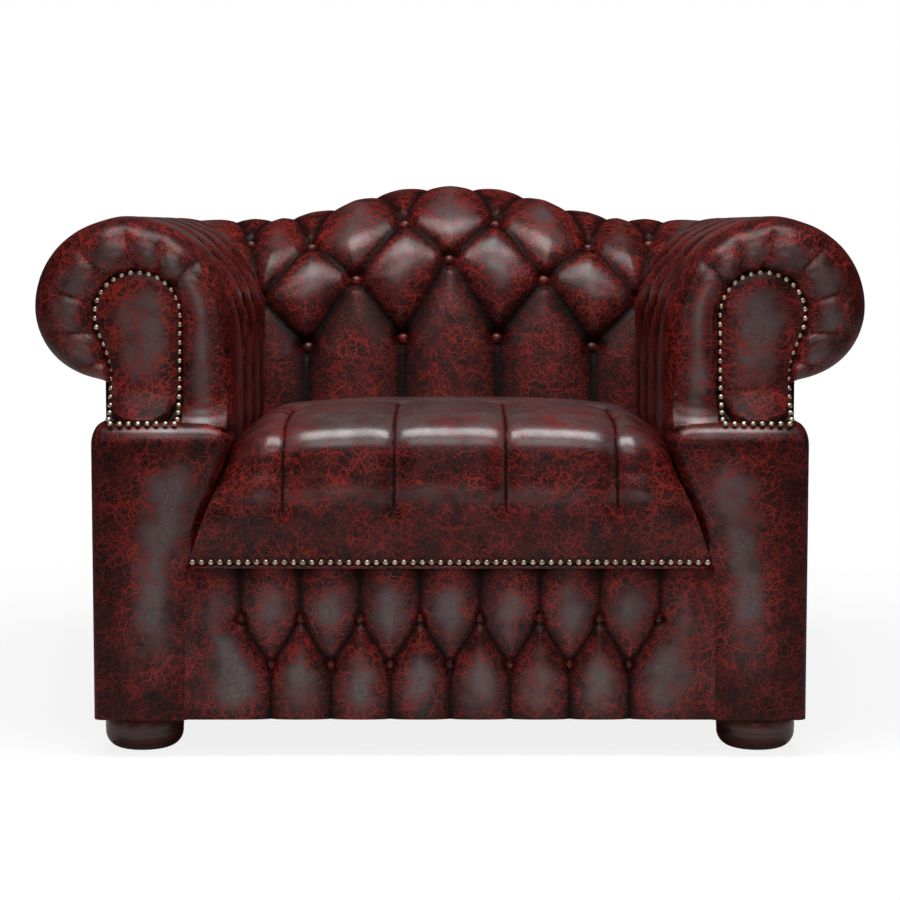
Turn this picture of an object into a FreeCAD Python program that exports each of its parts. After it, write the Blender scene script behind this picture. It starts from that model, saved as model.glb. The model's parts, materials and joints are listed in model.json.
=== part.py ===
# Chesterfield club armchair: hardwood frame, sprung seat, padding, leather covers, buttons, nails, feet.
# X runs to the sitter's left, Y from the front to the back, Z up; the origin is under the middle.
import FreeCAD, Part
import math
import os
import Sketcher

Vector = FreeCAD.Vector
X_AXIS, Y_AXIS, Z_AXIS = Vector(1, 0, 0), Vector(0, 1, 0), Vector(0, 0, 1)
SIDES = {"left": -1, "right": 1}

doc = FreeCAD.newDocument("chesterfield_armchair")
sheet = doc.addObject("Spreadsheet::Sheet", "dims")
pieces = {}


class Size:
    """A length that knows its number and the sheet expression that gives it."""

    def __init__(self, number, text):
        self.number = float(number)
        self.text = text

    def joined(self, other, sign, number):
        return Size(number, f"({self.text} {sign} {as_size(other).text})")

    def __add__(self, other):
        return self.joined(other, "+", self.number + float(other))

    def __sub__(self, other):
        return self.joined(other, "-", self.number - float(other))

    def __mul__(self, other):
        return self.joined(other, "*", self.number * float(other))

    def __truediv__(self, other):
        return self.joined(other, "/", self.number / float(other))

    def __radd__(self, other):
        return as_size(other) + self

    def __rsub__(self, other):
        return as_size(other) - self

    def __rmul__(self, other):
        return as_size(other) * self

    def __neg__(self):
        return self * -1

    def __float__(self):
        return self.number


def as_size(value):
    return value if isinstance(value, Size) else Size(value, repr(float(value)))


def root(value):
    return Size(math.sqrt(float(value)), f"sqrt({value.text})")


def dim(alias, value):
    """Write one driving dimension to the sheet, in millimetres or degrees."""
    cell = f"B{dim.row}"
    sheet.set(f"A{dim.row}", alias)
    sheet.set(cell, str(value))
    sheet.setAlias(cell, alias)
    dim.row += 1
    return Size(value, f"dims.{alias}")


dim.row = 1

# Driving dimensions: the whole chair
overall_width = dim("overall_width", 1132)
overall_depth = dim("overall_depth", 890)
arm_height = dim("arm_height", 728)
back_height = dim("back_height", 781)
body_width = dim("body_width", 966)
side_inset = dim("side_inset", 15)
seat_width = dim("seat_width", 586)
back_depth = dim("back_depth", 325)
seat_height = dim("seat_height", 457)
roll_radius = dim("roll_radius", 121)
under_radius = dim("under_radius", 97)
hump_half_width = dim("hump_half_width", 330)
back_lean = dim("back_lean", 12)

# Driving dimensions: front post, border and feet
post_width = dim("post_width", 128)
seat_gap = dim("seat_gap", 5)
flare_radius = dim("flare_radius", 120)
flare_drop = dim("flare_drop", 7)
flare = dim("flare", 20)
arm_setback = dim("arm_setback", 50)
cove_top = dim("cove_top", 515)
cove_radius = dim("cove_radius", 80)
ledge_radius = dim("ledge_radius", 30)
border_height = dim("border_height", 210)
border_setback = dim("border_setback", 6)
foot_height = dim("foot_height", 50)
foot_diameter = dim("foot_diameter", 107)
foot_centre_x = dim("foot_centre_x", 423)
foot_setback = dim("foot_setback", 82)

# Driving dimensions: coverings and their fixings
cover = dim("cover", 3)
quilt = dim("quilt", 16)
ease = dim("ease", 0.3)
front_round = dim("front_round", 35)
button_radius = dim("button_radius", 9)
nail_radius = dim("nail_radius", 4.2)
nail_pitch = dim("nail_pitch", 12.4)
tuft_pitch = dim("tuft_pitch", 150)
border_tuft_pitch = dim("border_tuft_pitch", 81)
pleat_depth = dim("pleat_depth", 7)
pit_depth = dim("pit_depth", 12)
channel_depth = dim("channel_depth", 7)

# Driving dimensions: timber, springs and webbing
board = dim("board", 40)
back_cavity = dim("back_cavity", 97)
stile = dim("stile", 30)
rail_height = dim("rail_height", 198)
frame_inner = dim("frame_inner", 99)
head_inset = dim("head_inset", 45)
tack_rail_drop = dim("tack_rail_drop", 40)
frame_top = dim("frame_top", 598)
crest_drop = dim("crest_drop", 4)
sheet_cloth = dim("sheet_cloth", 1)
webbing = dim("webbing", 1.5)
webbing_width = dim("webbing_width", 50)
spring_wire = dim("spring_wire", 4)
spring_pitch = dim("spring_pitch", 92)
bolt_radius = dim("bolt_radius", 4)

# Places worked out from them
base = foot_height
front_y = -overall_depth / 2
rear_y = overall_depth / 2
post_outer = body_width / 2
post_inner = post_outer - post_width
arm_face = seat_width / 2
arm_front = front_y + arm_setback
arm_axis_x = overall_width / 2 - roll_radius
back_axis_y = rear_y - roll_radius
side_plane = post_outer - side_inset
outside_gap = side_plane - arm_axis_x
back_plane = back_axis_y + outside_gap
arm_arc = arm_axis_x - arm_face
roll_axis_z = arm_height - roll_radius
hump = back_height - arm_height
web_x = post_outer - frame_inner
web_y = back_plane - back_cavity
border_top = base + border_height
rail_bottom = base + 2 * ease + webbing
rail_top = rail_bottom + rail_height
seat_base = border_top + ease
flare_top = seat_height - flare_drop
flare_angle = math.radians(float(flare))
seat_front_y = front_y + nail_radius
seat_back_y = rear_y - back_depth
tuck = seat_base + 10
tack_rail_z = tuck + 20
timber_x = web_x + sheet_cloth + webbing + 3 * ease
timber_y = web_y + sheet_cloth + webbing + 3 * ease
board_front = arm_front + quilt + ease
board_rear = board_front + board
timber_outer = side_plane - cover - ease
timber_rear = back_plane - cover - ease


# Ways of making a sub-part
def bind(thing, **values):
    """Tie properties of an object to the sheet; a dot in a path is written as two underscores."""
    for path, value in values.items():
        thing.setExpression(path.replace("__", "."), as_size(value).text)


def keep(thing, label):
    thing.Label = label
    pieces[label] = thing
    return thing


def block(label, x, y, z):
    """A rectangular board between two places on each axis."""
    box = doc.addObject("Part::Box", "board_" + label)
    bind(box, Length=x[1] - x[0], Width=y[1] - y[0], Height=z[1] - z[0])
    bind(box, Placement__Base__x=x[0], Placement__Base__y=y[0], Placement__Base__z=z[0])
    return box


def solid(label, shape):
    feature = doc.addObject("Part::Feature", "shape_" + label)
    feature.Shape = shape
    return feature


def without(label, whole, *tools):
    """The whole less each tool, as one cut after another."""
    for number, tool in enumerate(tools):
        cut = doc.addObject("Part::Cut", f"cut_{label}_{number}")
        cut.Base, cut.Tool = whole, tool
        whole = cut
    return whole


def both_sides(label, thing):
    """Keep a right-hand piece and its mirror image on the left."""
    mirrored = doc.addObject("Part::Mirroring", "mirror_" + label)
    mirrored.Source, mirrored.Normal, mirrored.Base = thing, X_AXIS, Vector(0, 0, 0)
    keep(thing, label + "_right")
    keep(mirrored, label + "_left")


def padded_outline(label, role, corners, start, length):
    """A body padded from an outline of lines and arcs; a corner is (u, v) or (u, v, centre_u, centre_v)."""
    body = doc.addObject("PartDesign::Body", "body_" + label)
    sketch = body.newObject("Sketcher::SketchObject", "outline_" + label)
    sketch.AttachmentSupport = [(next(o for o in body.Origin.OriginFeatures if o.Role == role), "")]
    sketch.MapMode = "FlatFace"
    # The sheet's Z is the XZ plane's second axis, and that plane's normal runs towards the front.
    bind(sketch, AttachmentOffset__Base__z=start)
    count = len(corners)
    starts = []
    for number, corner in enumerate(corners):
        after = corners[(number + 1) % count]
        one = Vector(float(corner[0]), float(corner[1]), 0)
        two = Vector(float(after[0]), float(after[1]), 0)
        starts.append(1)
        if len(corner) == 2:
            sketch.addGeometry(Part.LineSegment(one, two), False)
            continue
        middle = Vector(float(corner[2]), float(corner[3]), 0)
        circle = Part.Circle(middle, Z_AXIS, (one - middle).Length)
        # An arc always runs to the left round its centre, so a right-hand one starts at its far end.
        if (one - middle).cross(two - middle).z < 0:
            one, two = two, one
            starts[-1] = 2
        angles = [math.atan2(p.y - middle.y, p.x - middle.x) for p in (one, two)]
        sketch.addGeometry(Part.ArcOfCircle(circle, *angles), False)
    for number, corner in enumerate(corners):
        after = (number + 1) % count
        sketch.addConstraint(
            Sketcher.Constraint("Coincident", number, 3 - starts[number], after, starts[after]))
    for number, corner in enumerate(corners):
        fix_point(sketch, number, starts[number], corner[0], corner[1])
        if len(corner) > 2:
            fix_point(sketch, number, 3, None, corner[3])
    pad = body.newObject("PartDesign::Pad", "pad_" + label)
    pad.Profile = sketch
    bind(pad, Length=length)
    return body


def fix_point(sketch, geometry, point, across, up):
    for kind, place in (("DistanceX", across), ("DistanceY", up)):
        if place is None:
            continue
        number = sketch.addConstraint(
            Sketcher.Constraint(kind, -1, 1, geometry, point, float(place)))
        sketch.setExpression(f"Constraints[{number}]", as_size(place).text)


def wire(points_and_arcs):
    """A closed wire through points; a third item (a point on the way) makes that run an arc."""
    edges = []
    for number, (one, via) in enumerate(points_and_arcs):
        two = points_and_arcs[(number + 1) % len(points_and_arcs)][0]
        if via is None:
            edges.append(Part.LineSegment(one, two).toShape())
        else:
            edges.append(Part.Arc(one, via, two).toShape())
    return Part.Wire(edges)


def on_arc(centre, radius, degrees):
    angle = math.radians(degrees)
    return centre[0] + radius * math.cos(angle), centre[1] + radius * math.sin(angle)


# The scroll section that the arms and the back share
def under_neck(inset, edge):
    """How far below the roll's axis the underside of the roll meets the outside panel."""
    radius = float(under_radius) - inset
    return math.sqrt(radius ** 2 - (float(edge) - float(roll_radius - under_radius)) ** 2)


def roll_runs(axis, top, inset):
    """From the crest of a roll, over its outside, to the neck; axis is where the crest lies."""
    radius = float(roll_radius) - inset
    centre = (axis, top - float(roll_radius))
    low_centre = (axis + float(roll_radius - under_radius), centre[1])
    low_radius = float(under_radius) - inset
    neck = axis + float(outside_gap)
    neck_z = centre[1] - under_neck(inset, outside_gap)
    neck_angle = math.degrees(math.atan2(neck_z - centre[1], neck - low_centre[0]))
    return [((centre[0], centre[1] + radius), on_arc(centre, radius, 45)),
            ((centre[0] + radius, centre[1]), on_arc(low_centre, low_radius, neck_angle / 2)),
            ((neck, neck_z), None)]


def arm_line(z, inset=0):
    """The arm's inner face at a height below the flare's end, measured across the chair."""
    turn_x = float(arm_face) + float(flare_radius) * (1 - math.cos(flare_angle))
    turn_z = float(flare_top) - float(flare_radius) * math.sin(flare_angle)
    return turn_x + (turn_z - z) * math.tan(flare_angle) + inset / math.cos(flare_angle)


def arm_section(inset, low):
    """The arm's padded head in the XZ plane: its inner face, the roll and the line of the frame."""
    flare = (float(arm_face + flare_radius), float(flare_top))
    flare_r = float(flare_radius) - inset
    turn = math.degrees(flare_angle)
    inner = (float(arm_axis_x), float(arm_height - arm_arc))
    inner_r = float(arm_arc) - inset
    runs = [((arm_line(low, inset), low), None),
            (on_arc(flare, flare_r, 180 + turn), on_arc(flare, flare_r, 180 + turn / 2)),
            (on_arc(flare, flare_r, 180), None),
            (on_arc(inner, inner_r, 180), on_arc(inner, inner_r, 135))]
    runs += roll_runs(float(arm_axis_x), float(arm_height), inset)
    runs += [((float(side_plane), float(frame_top)), None),
             ((float(web_x), float(frame_top)), None),
             ((float(web_x), low), None)]
    return runs


def arm_solid(inset, low, start, end, rounding):
    """The arm's head run along the chair, its front edge rounded and its back corner turned."""
    runs = [(Vector(p[0], start, p[1]), via and Vector(via[0], start, via[1]))
            for p, via in arm_section(inset, low)]
    face = Part.Face(wire(runs))
    head = face.extrude(Vector(0, end - start, 0))
    edges = [edge for edge in head.Edges if edge.BoundBox.YMax < start + 1e-3
             and not frame_side(edge) and edge.BoundBox.ZMax > low + 1e-3]
    head = head.makeFillet(rounding, edges)
    axis = float(arm_axis_x)
    corner_runs = [((p[0], p[1]), via) for p, via in roll_runs(axis, float(arm_height), inset)]
    corner_runs += [((float(side_plane), float(frame_top)), None), ((axis, float(frame_top)), None)]
    corner = Part.Face(wire([(Vector(p[0], end, p[1]), via and Vector(via[0], end, via[1]))
                             for p, via in corner_runs]))
    turned = corner.revolve(Vector(axis, end, 0), Z_AXIS, 90)
    return head.fuse(turned).removeSplitter()


def frame_side(edge):
    """Whether an edge of the arm's front lies along the frame and not along the cover."""
    box = edge.BoundBox
    along_frame = box.XMin > float(web_x) - 1e-3 and box.XMax < float(side_plane) + 1e-3
    return along_frame and box.ZMax < float(frame_top) + 1e-3


def hump_at(x):
    """How far the back's crest stands above the arms, on two arcs each side that meet midway."""
    half, rise = float(hump_half_width), float(hump)
    bend = (half ** 2 / 4 + rise ** 2 / 4) / rise
    reach = abs(x)
    if reach < half / 2:
        return rise - bend + math.sqrt(bend ** 2 - reach ** 2)
    if reach < half:
        return bend - math.sqrt(bend ** 2 - (half - reach) ** 2)
    return 0.0


def back_arc(x):
    """Centre and radius of the back's inner curve at a place across the chair."""
    lean = math.radians(float(back_lean))
    crest = float(arm_height) + hump_at(x)
    run = float(back_axis_y - seat_back_y) * math.cos(lean)
    radius = (run - (crest - float(seat_height)) * math.sin(lean)) / (1 - math.sin(lean))
    return (float(back_axis_y), crest - radius), radius


def back_point(x, z, inset=0):
    """A point on the back's inner face and the direction that the face looks in."""
    lean = math.radians(float(back_lean))
    centre, radius = back_arc(x)
    if z < centre[1] + radius * math.sin(lean):
        y = float(seat_back_y) + (z - float(seat_height)) * math.tan(lean) + inset / math.cos(lean)
        return Vector(x, y, z), Vector(0, -math.cos(lean), math.sin(lean))
    up = min(z - centre[1], radius - 1)
    y = centre[0] - math.sqrt((radius - inset) ** 2 - min(up, radius - inset - 0.5) ** 2)
    return Vector(x, y, z), Vector(0, y - centre[0], z - centre[1]).normalize()


def back_section(x, inset, low):
    """The back's padded head in a plane across X."""
    centre, radius = back_arc(x)
    lean = float(back_lean)
    bottom = back_point(x, low, inset)[0]
    runs = [((bottom.y, low), None),
            (on_arc(centre, radius - inset, 180 - lean), on_arc(centre, radius - inset, 135 - lean / 2))]
    crest = float(arm_height) + hump_at(x)
    runs += roll_runs(float(back_axis_y), crest, inset)
    top = float(frame_top) + hump_at(x)
    runs += [((float(back_plane), top), None), ((float(web_y), top), None), ((float(web_y), low), None)]
    return wire([(Vector(x, p[0], p[1]), via and Vector(x, via[0], via[1])) for p, via in runs])


def back_solid(inset, low):
    """The back's head, lofted over its raised middle and straight beside it."""
    half = float(hump_half_width)
    steps = 3
    places = [half * step / steps for step in range(-steps, steps + 1)]
    middle = Part.makeLoft([back_section(x, inset, low) for x in places], True, True)
    end = float(arm_axis_x - ease)
    wings = [Part.Face(back_section(side * half, inset, low)).extrude(Vector(side * (end - half), 0, 0))
             for side in (-1, 1)]
    return middle.fuse(wings)


# Deep buttoning: a pit at each button and a pleat between neighbours
def pleat(one, two, normal, depth, half_width):
    """A wedge whose sharp edge lies below the surface between two points on it."""
    along = (two - one).normalize()
    across = along.cross(normal).normalize()
    out = normal * depth
    corners = [one - normal * depth, one + out + across * 2 * half_width,
               one + out - across * 2 * half_width]
    face = Part.Face(Part.makePolygon(corners + corners[:1]))
    return face.extrude(two - one)


def pit(point, normal, across, depth, half_width):
    """A four-sided pit, its corners towards the pleats."""
    up = normal.cross(across).normalize()
    rim = [point + normal * 2 + way * half_width for way in (across, up, -across, -up)]
    floor = [point - normal * depth + way * 1.5 * float(button_radius) for way in (across, up, -across, -up)]
    loops = [Part.makePolygon(loop + loop[:1]) for loop in (rim, floor)]
    return Part.makeLoft(loops, True, True)


def dome(point, normal, across, radius, height, sides):
    """A low faceted dome, for a button or a nail head."""
    up = normal.cross(across).normalize()
    loops = []
    for rise, share in ((0, 1), (height, 0.5)):
        ring = [point + normal * rise
                + (across * math.cos(math.tau * k / sides) + up * math.sin(math.tau * k / sides))
                * (radius * share) for k in range(sides)]
        loops.append(Part.makePolygon(ring + ring[:1]))
    return Part.makeLoft(loops, True, True)


def tufting(rows, surface, across, lower, upper, spread=26):
    """Pits and pleats for staggered rows of buttons; lower and upper end the outer pleats."""
    cuts, buttons = [], []
    depth, half = float(pleat_depth), 7
    for row, places in enumerate(rows):
        for place in places:
            point, normal = surface(*place)
            cuts.append(pit(point, normal, across, float(pit_depth), spread))
            seat_point = point - normal * (float(pit_depth) - float(ease))
            buttons.append(dome(seat_point, normal, across, float(button_radius) - 1, 6, 8))
            if row + 1 < len(rows):
                near = [other for other in rows[row + 1] if abs(other[0] - place[0]) < spread * 4]
                for other in near:
                    far_point, far_normal = surface(*other)
                    cuts.append(pleat(point, far_point, (normal + far_normal).normalize(), depth, half))
    for row, stops in ((rows[0], lower), (rows[-1], upper)):
        for place in row:
            for one, two in zip([place[1]] + stops, stops):
                (start, tilt), (end, end_tilt) = surface(place[0], one), surface(place[0], two)
                cuts.append(pleat(start, end, (tilt + end_tilt).normalize(), depth, half))
    return Part.makeCompound(cuts), Part.makeCompound(buttons)


# Timber frame
def make_rails():
    inner_x = timber_x + stile
    keep(block("front_rail", (-web_x, web_x), (board_front, board_front + stile),
               (rail_bottom, rail_top)), "front_rail")
    keep(block("back_rail", (-timber_x + ease, timber_x - ease), (timber_rear - board, timber_rear),
               (rail_bottom, rail_top)), "back_rail")
    keep(block("back_tack_rail", (-timber_x + ease, timber_x - ease), (timber_y, timber_y + stile),
               (tack_rail_z, tack_rail_z + tack_rail_drop)), "back_tack_rail")
    post_front = timber_rear - 1.5 * board
    both_sides("side_rail", block("side_rail", (timber_outer - board, timber_outer),
                                  (board_rear + ease, post_front - ease), (rail_bottom + board, rail_top)))
    both_sides("arm_tack_rail", block("arm_tack_rail", (timber_x, inner_x),
                                      (board_rear + ease, timber_y - ease),
                                      (tack_rail_z, tack_rail_z + tack_rail_drop)))
    both_sides("arm_top_rail", block("arm_top_rail", (timber_x, inner_x + stile / 2),
                                     (board_rear + ease, timber_y - ease),
                                     (frame_top - board - ease, frame_top - ease)))
    both_sides("back_stile", block("back_stile", (timber_x, inner_x), (timber_y, timber_rear),
                                   (rail_bottom + board, frame_top - ease)))
    return inner_x


def make_rear_posts(inner_x):
    """Corner posts, their outer edge rounded to sit inside the covers."""
    post = block("rear_post", (inner_x + ease, timber_outer), (timber_rear - 1.5 * board, timber_rear),
                 (rail_bottom + board, frame_top - ease))
    doc.recompute()
    rounded = doc.addObject("Part::Fillet", "round_rear_post")
    rounded.Base = post
    corner = [number + 1 for number, edge in enumerate(post.Shape.Edges)
              if edge.BoundBox.XMin > float(timber_outer) - 1e-3
              and edge.BoundBox.YMin > float(timber_rear) - 1e-3]
    radius = float(outside_gap - cover)
    rounded.Edges = [(number, radius, radius) for number in corner]
    both_sides("rear_post", rounded)


def make_front_boards():
    """Scroll-headed boards behind the arm fronts."""
    head_r, outer_r, low_r = arm_arc - head_inset, roll_radius - head_inset, under_radius - head_inset
    low_x = arm_axis_x + roll_radius - under_radius
    shoulder = arm_height - arm_arc
    neck = roll_axis_z - root(low_r * low_r - (timber_outer - low_x) * (timber_outer - low_x))
    corners = [(timber_outer, rail_bottom + board), (timber_outer, neck, low_x, roll_axis_z),
               (arm_axis_x + outer_r, roll_axis_z, arm_axis_x, roll_axis_z),
               (arm_axis_x, arm_height - head_inset, arm_axis_x, shoulder),
               (arm_face + head_inset, shoulder), (arm_face + head_inset, flare_top + board),
               (web_x + ease, flare_top), (web_x + ease, rail_bottom + board)]
    both_sides("front_board", padded_outline("front_board", "XZ_Plane", corners, -board_rear, board))
    return solid("board_pocket", outline_prism(corners, board_front, board, float(ease)))


def outline_prism(corners, start, length, grown):
    """The same kind of outline as a plain prism, grown all round."""
    runs = []
    for number, corner in enumerate(corners):
        after = corners[(number + 1) % len(corners)]
        one, two = (Vector(float(c[0]), 0, float(c[1])) for c in (corner, after))
        via = None
        if len(corner) > 2:
            centre = Vector(float(corner[2]), 0, float(corner[3]))
            via = centre + ((one - centre) + (two - centre)).normalize() * (one - centre).Length
        runs.append((one, via))
    prism = Part.Face(wire(runs).makeOffset2D(grown)).extrude(Vector(0, float(length) + 2 * grown, 0))
    prism.translate(Vector(0, float(start) - grown, 0))
    return prism


def make_back_top_rail():
    """Camel-backed rail, its top edge on the same arcs as the back's crest."""
    half, rise = hump_half_width, hump
    bend = (half * half / 4 + rise * rise / 4) / rise
    low = frame_top - crest_drop
    end = timber_x - ease
    corners = [(end, low - 2 * board), (end, low), (half, low, half, low + bend),
               (half / 2, low + rise / 2, 0, low + rise - bend),
               (-half / 2, low + rise / 2, -half, low + bend), (-half, low), (-end, low),
               (-end, low - 2 * board)]
    keep(padded_outline("back_top_rail", "XZ_Plane", corners, -(timber_y + stile), stile), "back_top_rail")


def make_foot_blocks():
    """Corner blocks under the boards and posts, bored and counterbored for the foot bolts."""
    blocks = []
    low, high = float(rail_bottom), float(rail_bottom + board - ease)
    x0, x1 = float(timber_x), float(timber_outer)
    corner = float(outside_gap - cover)
    for y0, y1, rounded in ((float(board_front), float(board_rear + board), False),
                            (float(timber_rear - 2.5 * board), float(timber_rear), True)):
        shape = Part.makeBox(x1 - x0, y1 - y0, high - low, Vector(x0, y0, low))
        if rounded:
            edge = [e for e in shape.Edges if e.BoundBox.XMin > x1 - 1e-3 and e.BoundBox.YMin > y1 - 1e-3]
            shape = shape.makeFillet(corner, edge)
        blocks.append(shape)
    tools = []
    for x, y in (foot_place(0), foot_place(1)):
        tools.append(Part.makeCylinder(float(bolt_radius + ease), high, Vector(x, y, 0)))
        tools.append(Part.makeCylinder(nut_radius() + float(ease), high,
                                       Vector(x, y, high - nut_height() - float(ease))))
    right = [shape.cut(tools) for shape in blocks]
    every = right + [shape.mirror(Vector(0, 0, 0), X_AXIS) for shape in right]
    keep(solid("foot_blocks", Part.makeCompound(every)), "foot_blocks")


def foot_place(rear):
    """A right-hand foot's middle; the rear feet stand in by as much as the side panels do."""
    if rear:
        return float(foot_centre_x - side_inset), float(back_plane - foot_setback)
    return float(foot_centre_x), float(front_y + foot_setback)


def nut_radius():
    return 2.2 * float(bolt_radius)


def nut_height():
    return 2 * float(bolt_radius)


# Feet and their fixings
def make_feet():
    radius = foot_diameter / 2
    for rear, end in enumerate(("front", "rear")):
        for side, way in SIDES.items():
            label = f"foot_{end}_{side}"
            bore = float(bolt_radius + ease)
            bore_floor = float(foot_height) * 0.4
            half = [(bore, bore_floor), (0, bore_floor), (0, 0), (0.64 * float(radius), 0),
                    (float(radius), 0.5 * float(foot_height)),
                    (0.9 * float(radius), float(foot_height)), (bore, float(foot_height))]
            points = [Vector(r, 0, z) for r, z in half]
            edges = [Part.LineSegment(points[k], points[k + 1]).toShape() for k in (0, 1, 2)]
            edges.append(Part.Arc(points[3], Vector(0.93 * float(radius), 0, 0.2 * float(foot_height)),
                                  points[4]).toShape())
            edges.append(Part.Arc(points[4], Vector(0.985 * float(radius), 0, 0.8 * float(foot_height)),
                                  points[5]).toShape())
            edges.append(Part.LineSegment(points[5], points[6]).toShape())
            edges.append(Part.LineSegment(points[6], points[0]).toShape())
            bun = Part.Face(Part.Wire(edges)).revolve(Vector(0, 0, 0), Z_AXIS, 360)
            foot = solid(label, bun)
            x, y = foot_place(rear)
            foot.Placement.Base = Vector(way * x, y, 0)
            keep(foot, label)


def make_foot_fixings():
    bolts, nuts = [], []
    top = float(rail_bottom + board - ease)
    low = float(foot_height) * 0.4 + float(ease)
    for way in SIDES.values():
        for rear in (0, 1):
            x, y = foot_place(rear)
            spot = Vector(way * x, y, 0)
            bolts.append(Part.makeCylinder(float(bolt_radius), top - 1 - low, spot + Z_AXIS * low))
            seat = spot + Z_AXIS * (top - nut_height())
            ring = Part.makeCylinder(nut_radius(), nut_height() - 0.5, seat)
            nuts.append(ring.cut(Part.makeCylinder(float(bolt_radius + ease), nut_height(), seat)))
    keep(solid("foot_bolts", Part.makeCompound(bolts)), "foot_bolts")
    keep(solid("foot_nuts", Part.makeCompound(nuts)), "foot_nuts")


# Springs, webbing and hessian
def make_springs():
    """Zigzag springs from the front rail to the back rail, each end under a clip."""
    radius = float(spring_pitch) / 4
    reach = 0.55 * float(spring_pitch)
    centre_z = float(rail_top + ease + spring_wire / 2) + 1.8
    start = float(board_front + stile / 2)
    end = float(timber_rear - board / 2)
    bends = 2 * int((end - start - 4 * radius) / (4 * radius))
    lead = (end - start - bends * 2 * radius) / 2
    half = float(spring_wire) / 2
    springs, clips = [], []
    for place in (-1.5, -0.5, 0.5, 1.5):
        x = place * float(tuft_pitch)
        edges, y, sign = [], start, 1
        here = Vector(x, y, centre_z)
        for bend in range(bends + 1):
            y_turn = start + lead + bend * 2 * radius
            inner = Vector(x, y_turn - radius, centre_z)
            if bend == 0:
                edges.append(Part.LineSegment(here, inner).toShape())
                quarter = Vector(x + radius * 0.7071, y_turn - radius * 0.7071, centre_z)
                corner = Vector(x + radius, y_turn, centre_z)
                edges.append(Part.Arc(inner, Vector(x + radius * 0.2929, y_turn - radius * 0.2929,
                                                    centre_z), corner).toShape())
                out = Vector(x + reach, y_turn, centre_z)
                edges.append(Part.LineSegment(corner, out).toShape())
                here = out
                continue
            turn = here + Vector(sign * radius, radius, 0)
            out = here + Vector(0, 2 * radius, 0)
            edges.append(Part.Arc(here, turn, out).toShape())
            sign = -sign
            if bend < bends:
                here = Vector(x + sign * reach, out.y, centre_z)
                edges.append(Part.LineSegment(out, here).toShape())
            else:
                corner = Vector(x - sign * radius, out.y, centre_z)
                edges.append(Part.LineSegment(out, corner).toShape())
                tip = Vector(x, out.y + radius, centre_z)
                edges.append(Part.Arc(corner, Vector(x - sign * radius * 0.2929,
                                                     out.y + radius * 0.2929, centre_z), tip).toShape())
                edges.append(Part.LineSegment(tip, Vector(x, end, centre_z)).toShape())
        path = Part.Wire(edges)
        square = Part.makePolygon([Vector(x + u * half, start, centre_z + v * half)
                                   for u, v in ((-1, -1), (1, -1), (1, 1), (-1, 1), (-1, -1))])
        springs.append(path.makePipeShell([square], True, False))
        for y in (start - 8, end - 12):
            low = Vector(x - 9, y, float(rail_top + ease))
            body = Part.makeBox(18, 20, float(spring_wire) + 3.6, low)
            slot = Part.makeBox(float(spring_wire) + 0.6, 20, float(spring_wire) + 0.6,
                                Vector(x - half - 0.3, y, centre_z - half - 0.3))
            clips.append(body.cut(slot))
    keep(solid("seat_springs", Part.makeCompound(springs)), "seat_springs")
    keep(solid("spring_clips", Part.makeCompound(clips)), "spring_clips")


def make_cloths(inner_x):
    """Hessian on the inside of the frame, with jute webbing behind it, and the dust cover."""
    low, high = tack_rail_z, frame_top - ease
    across = post_inner - ease
    keep(block("seat_hessian", (-across, across), (board_front, timber_y - 20),
               (seat_base - ease - sheet_cloth, seat_base - ease)), "seat_hessian")
    both_sides("arm_hessian", block("arm_hessian", (web_x + ease, web_x + ease + sheet_cloth),
                                    (board_rear + ease, timber_y - ease), (low, high)))
    keep(block("back_hessian", (-web_x + ease, web_x - ease), (web_y + ease, web_y + ease + sheet_cloth),
               (low, high)), "back_hessian")
    web0, web1 = web_x + 2 * ease + sheet_cloth, web_x + 2 * ease + sheet_cloth + webbing
    length = float(timber_y) - float(board_rear)
    strips = []
    for number in range(5):
        middle = float(board_rear) + length * (number + 0.5) / 5
        strips.append(Part.makeBox(float(webbing), float(webbing_width), float(high) - float(low),
                                   Vector(float(web0), middle - float(webbing_width) / 2, float(low))))
    both_sides("arm_webbing", solid("arm_webbing", Part.makeCompound(strips)))
    strips = []
    back_y = float(web_y + 2 * ease + sheet_cloth)
    for number in range(-2, 3):
        middle = number * float(web_x) / 2.6
        strips.append(Part.makeBox(float(webbing_width), float(webbing), float(high) - float(low),
                                   Vector(middle - float(webbing_width) / 2, back_y, float(low))))
    keep(solid("back_webbing", Part.makeCompound(strips)), "back_webbing")
    outer = timber_outer - 2
    bottom = block("dust_cover", (-outer, outer), (board_front, timber_rear - 2),
                   (base + ease, base + ease + webbing))
    holes = []
    for way in SIDES.values():
        for rear in (0, 1):
            x, y = foot_place(rear)
            holes.append(Part.makeCylinder(float(bolt_radius + ease), 40, Vector(way * x, y, 30)))
    corner = float(outside_gap)
    for way in SIDES.values():
        holes.append(Part.makeBox(corner, corner, 40, Vector(way * float(timber_outer)
                     - (corner if way > 0 else 0), float(timber_rear) - corner, 30)))
    keep(without("dust_cover", bottom, solid("dust_holes", Part.makeCompound(holes))), "dust_cover")


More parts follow.
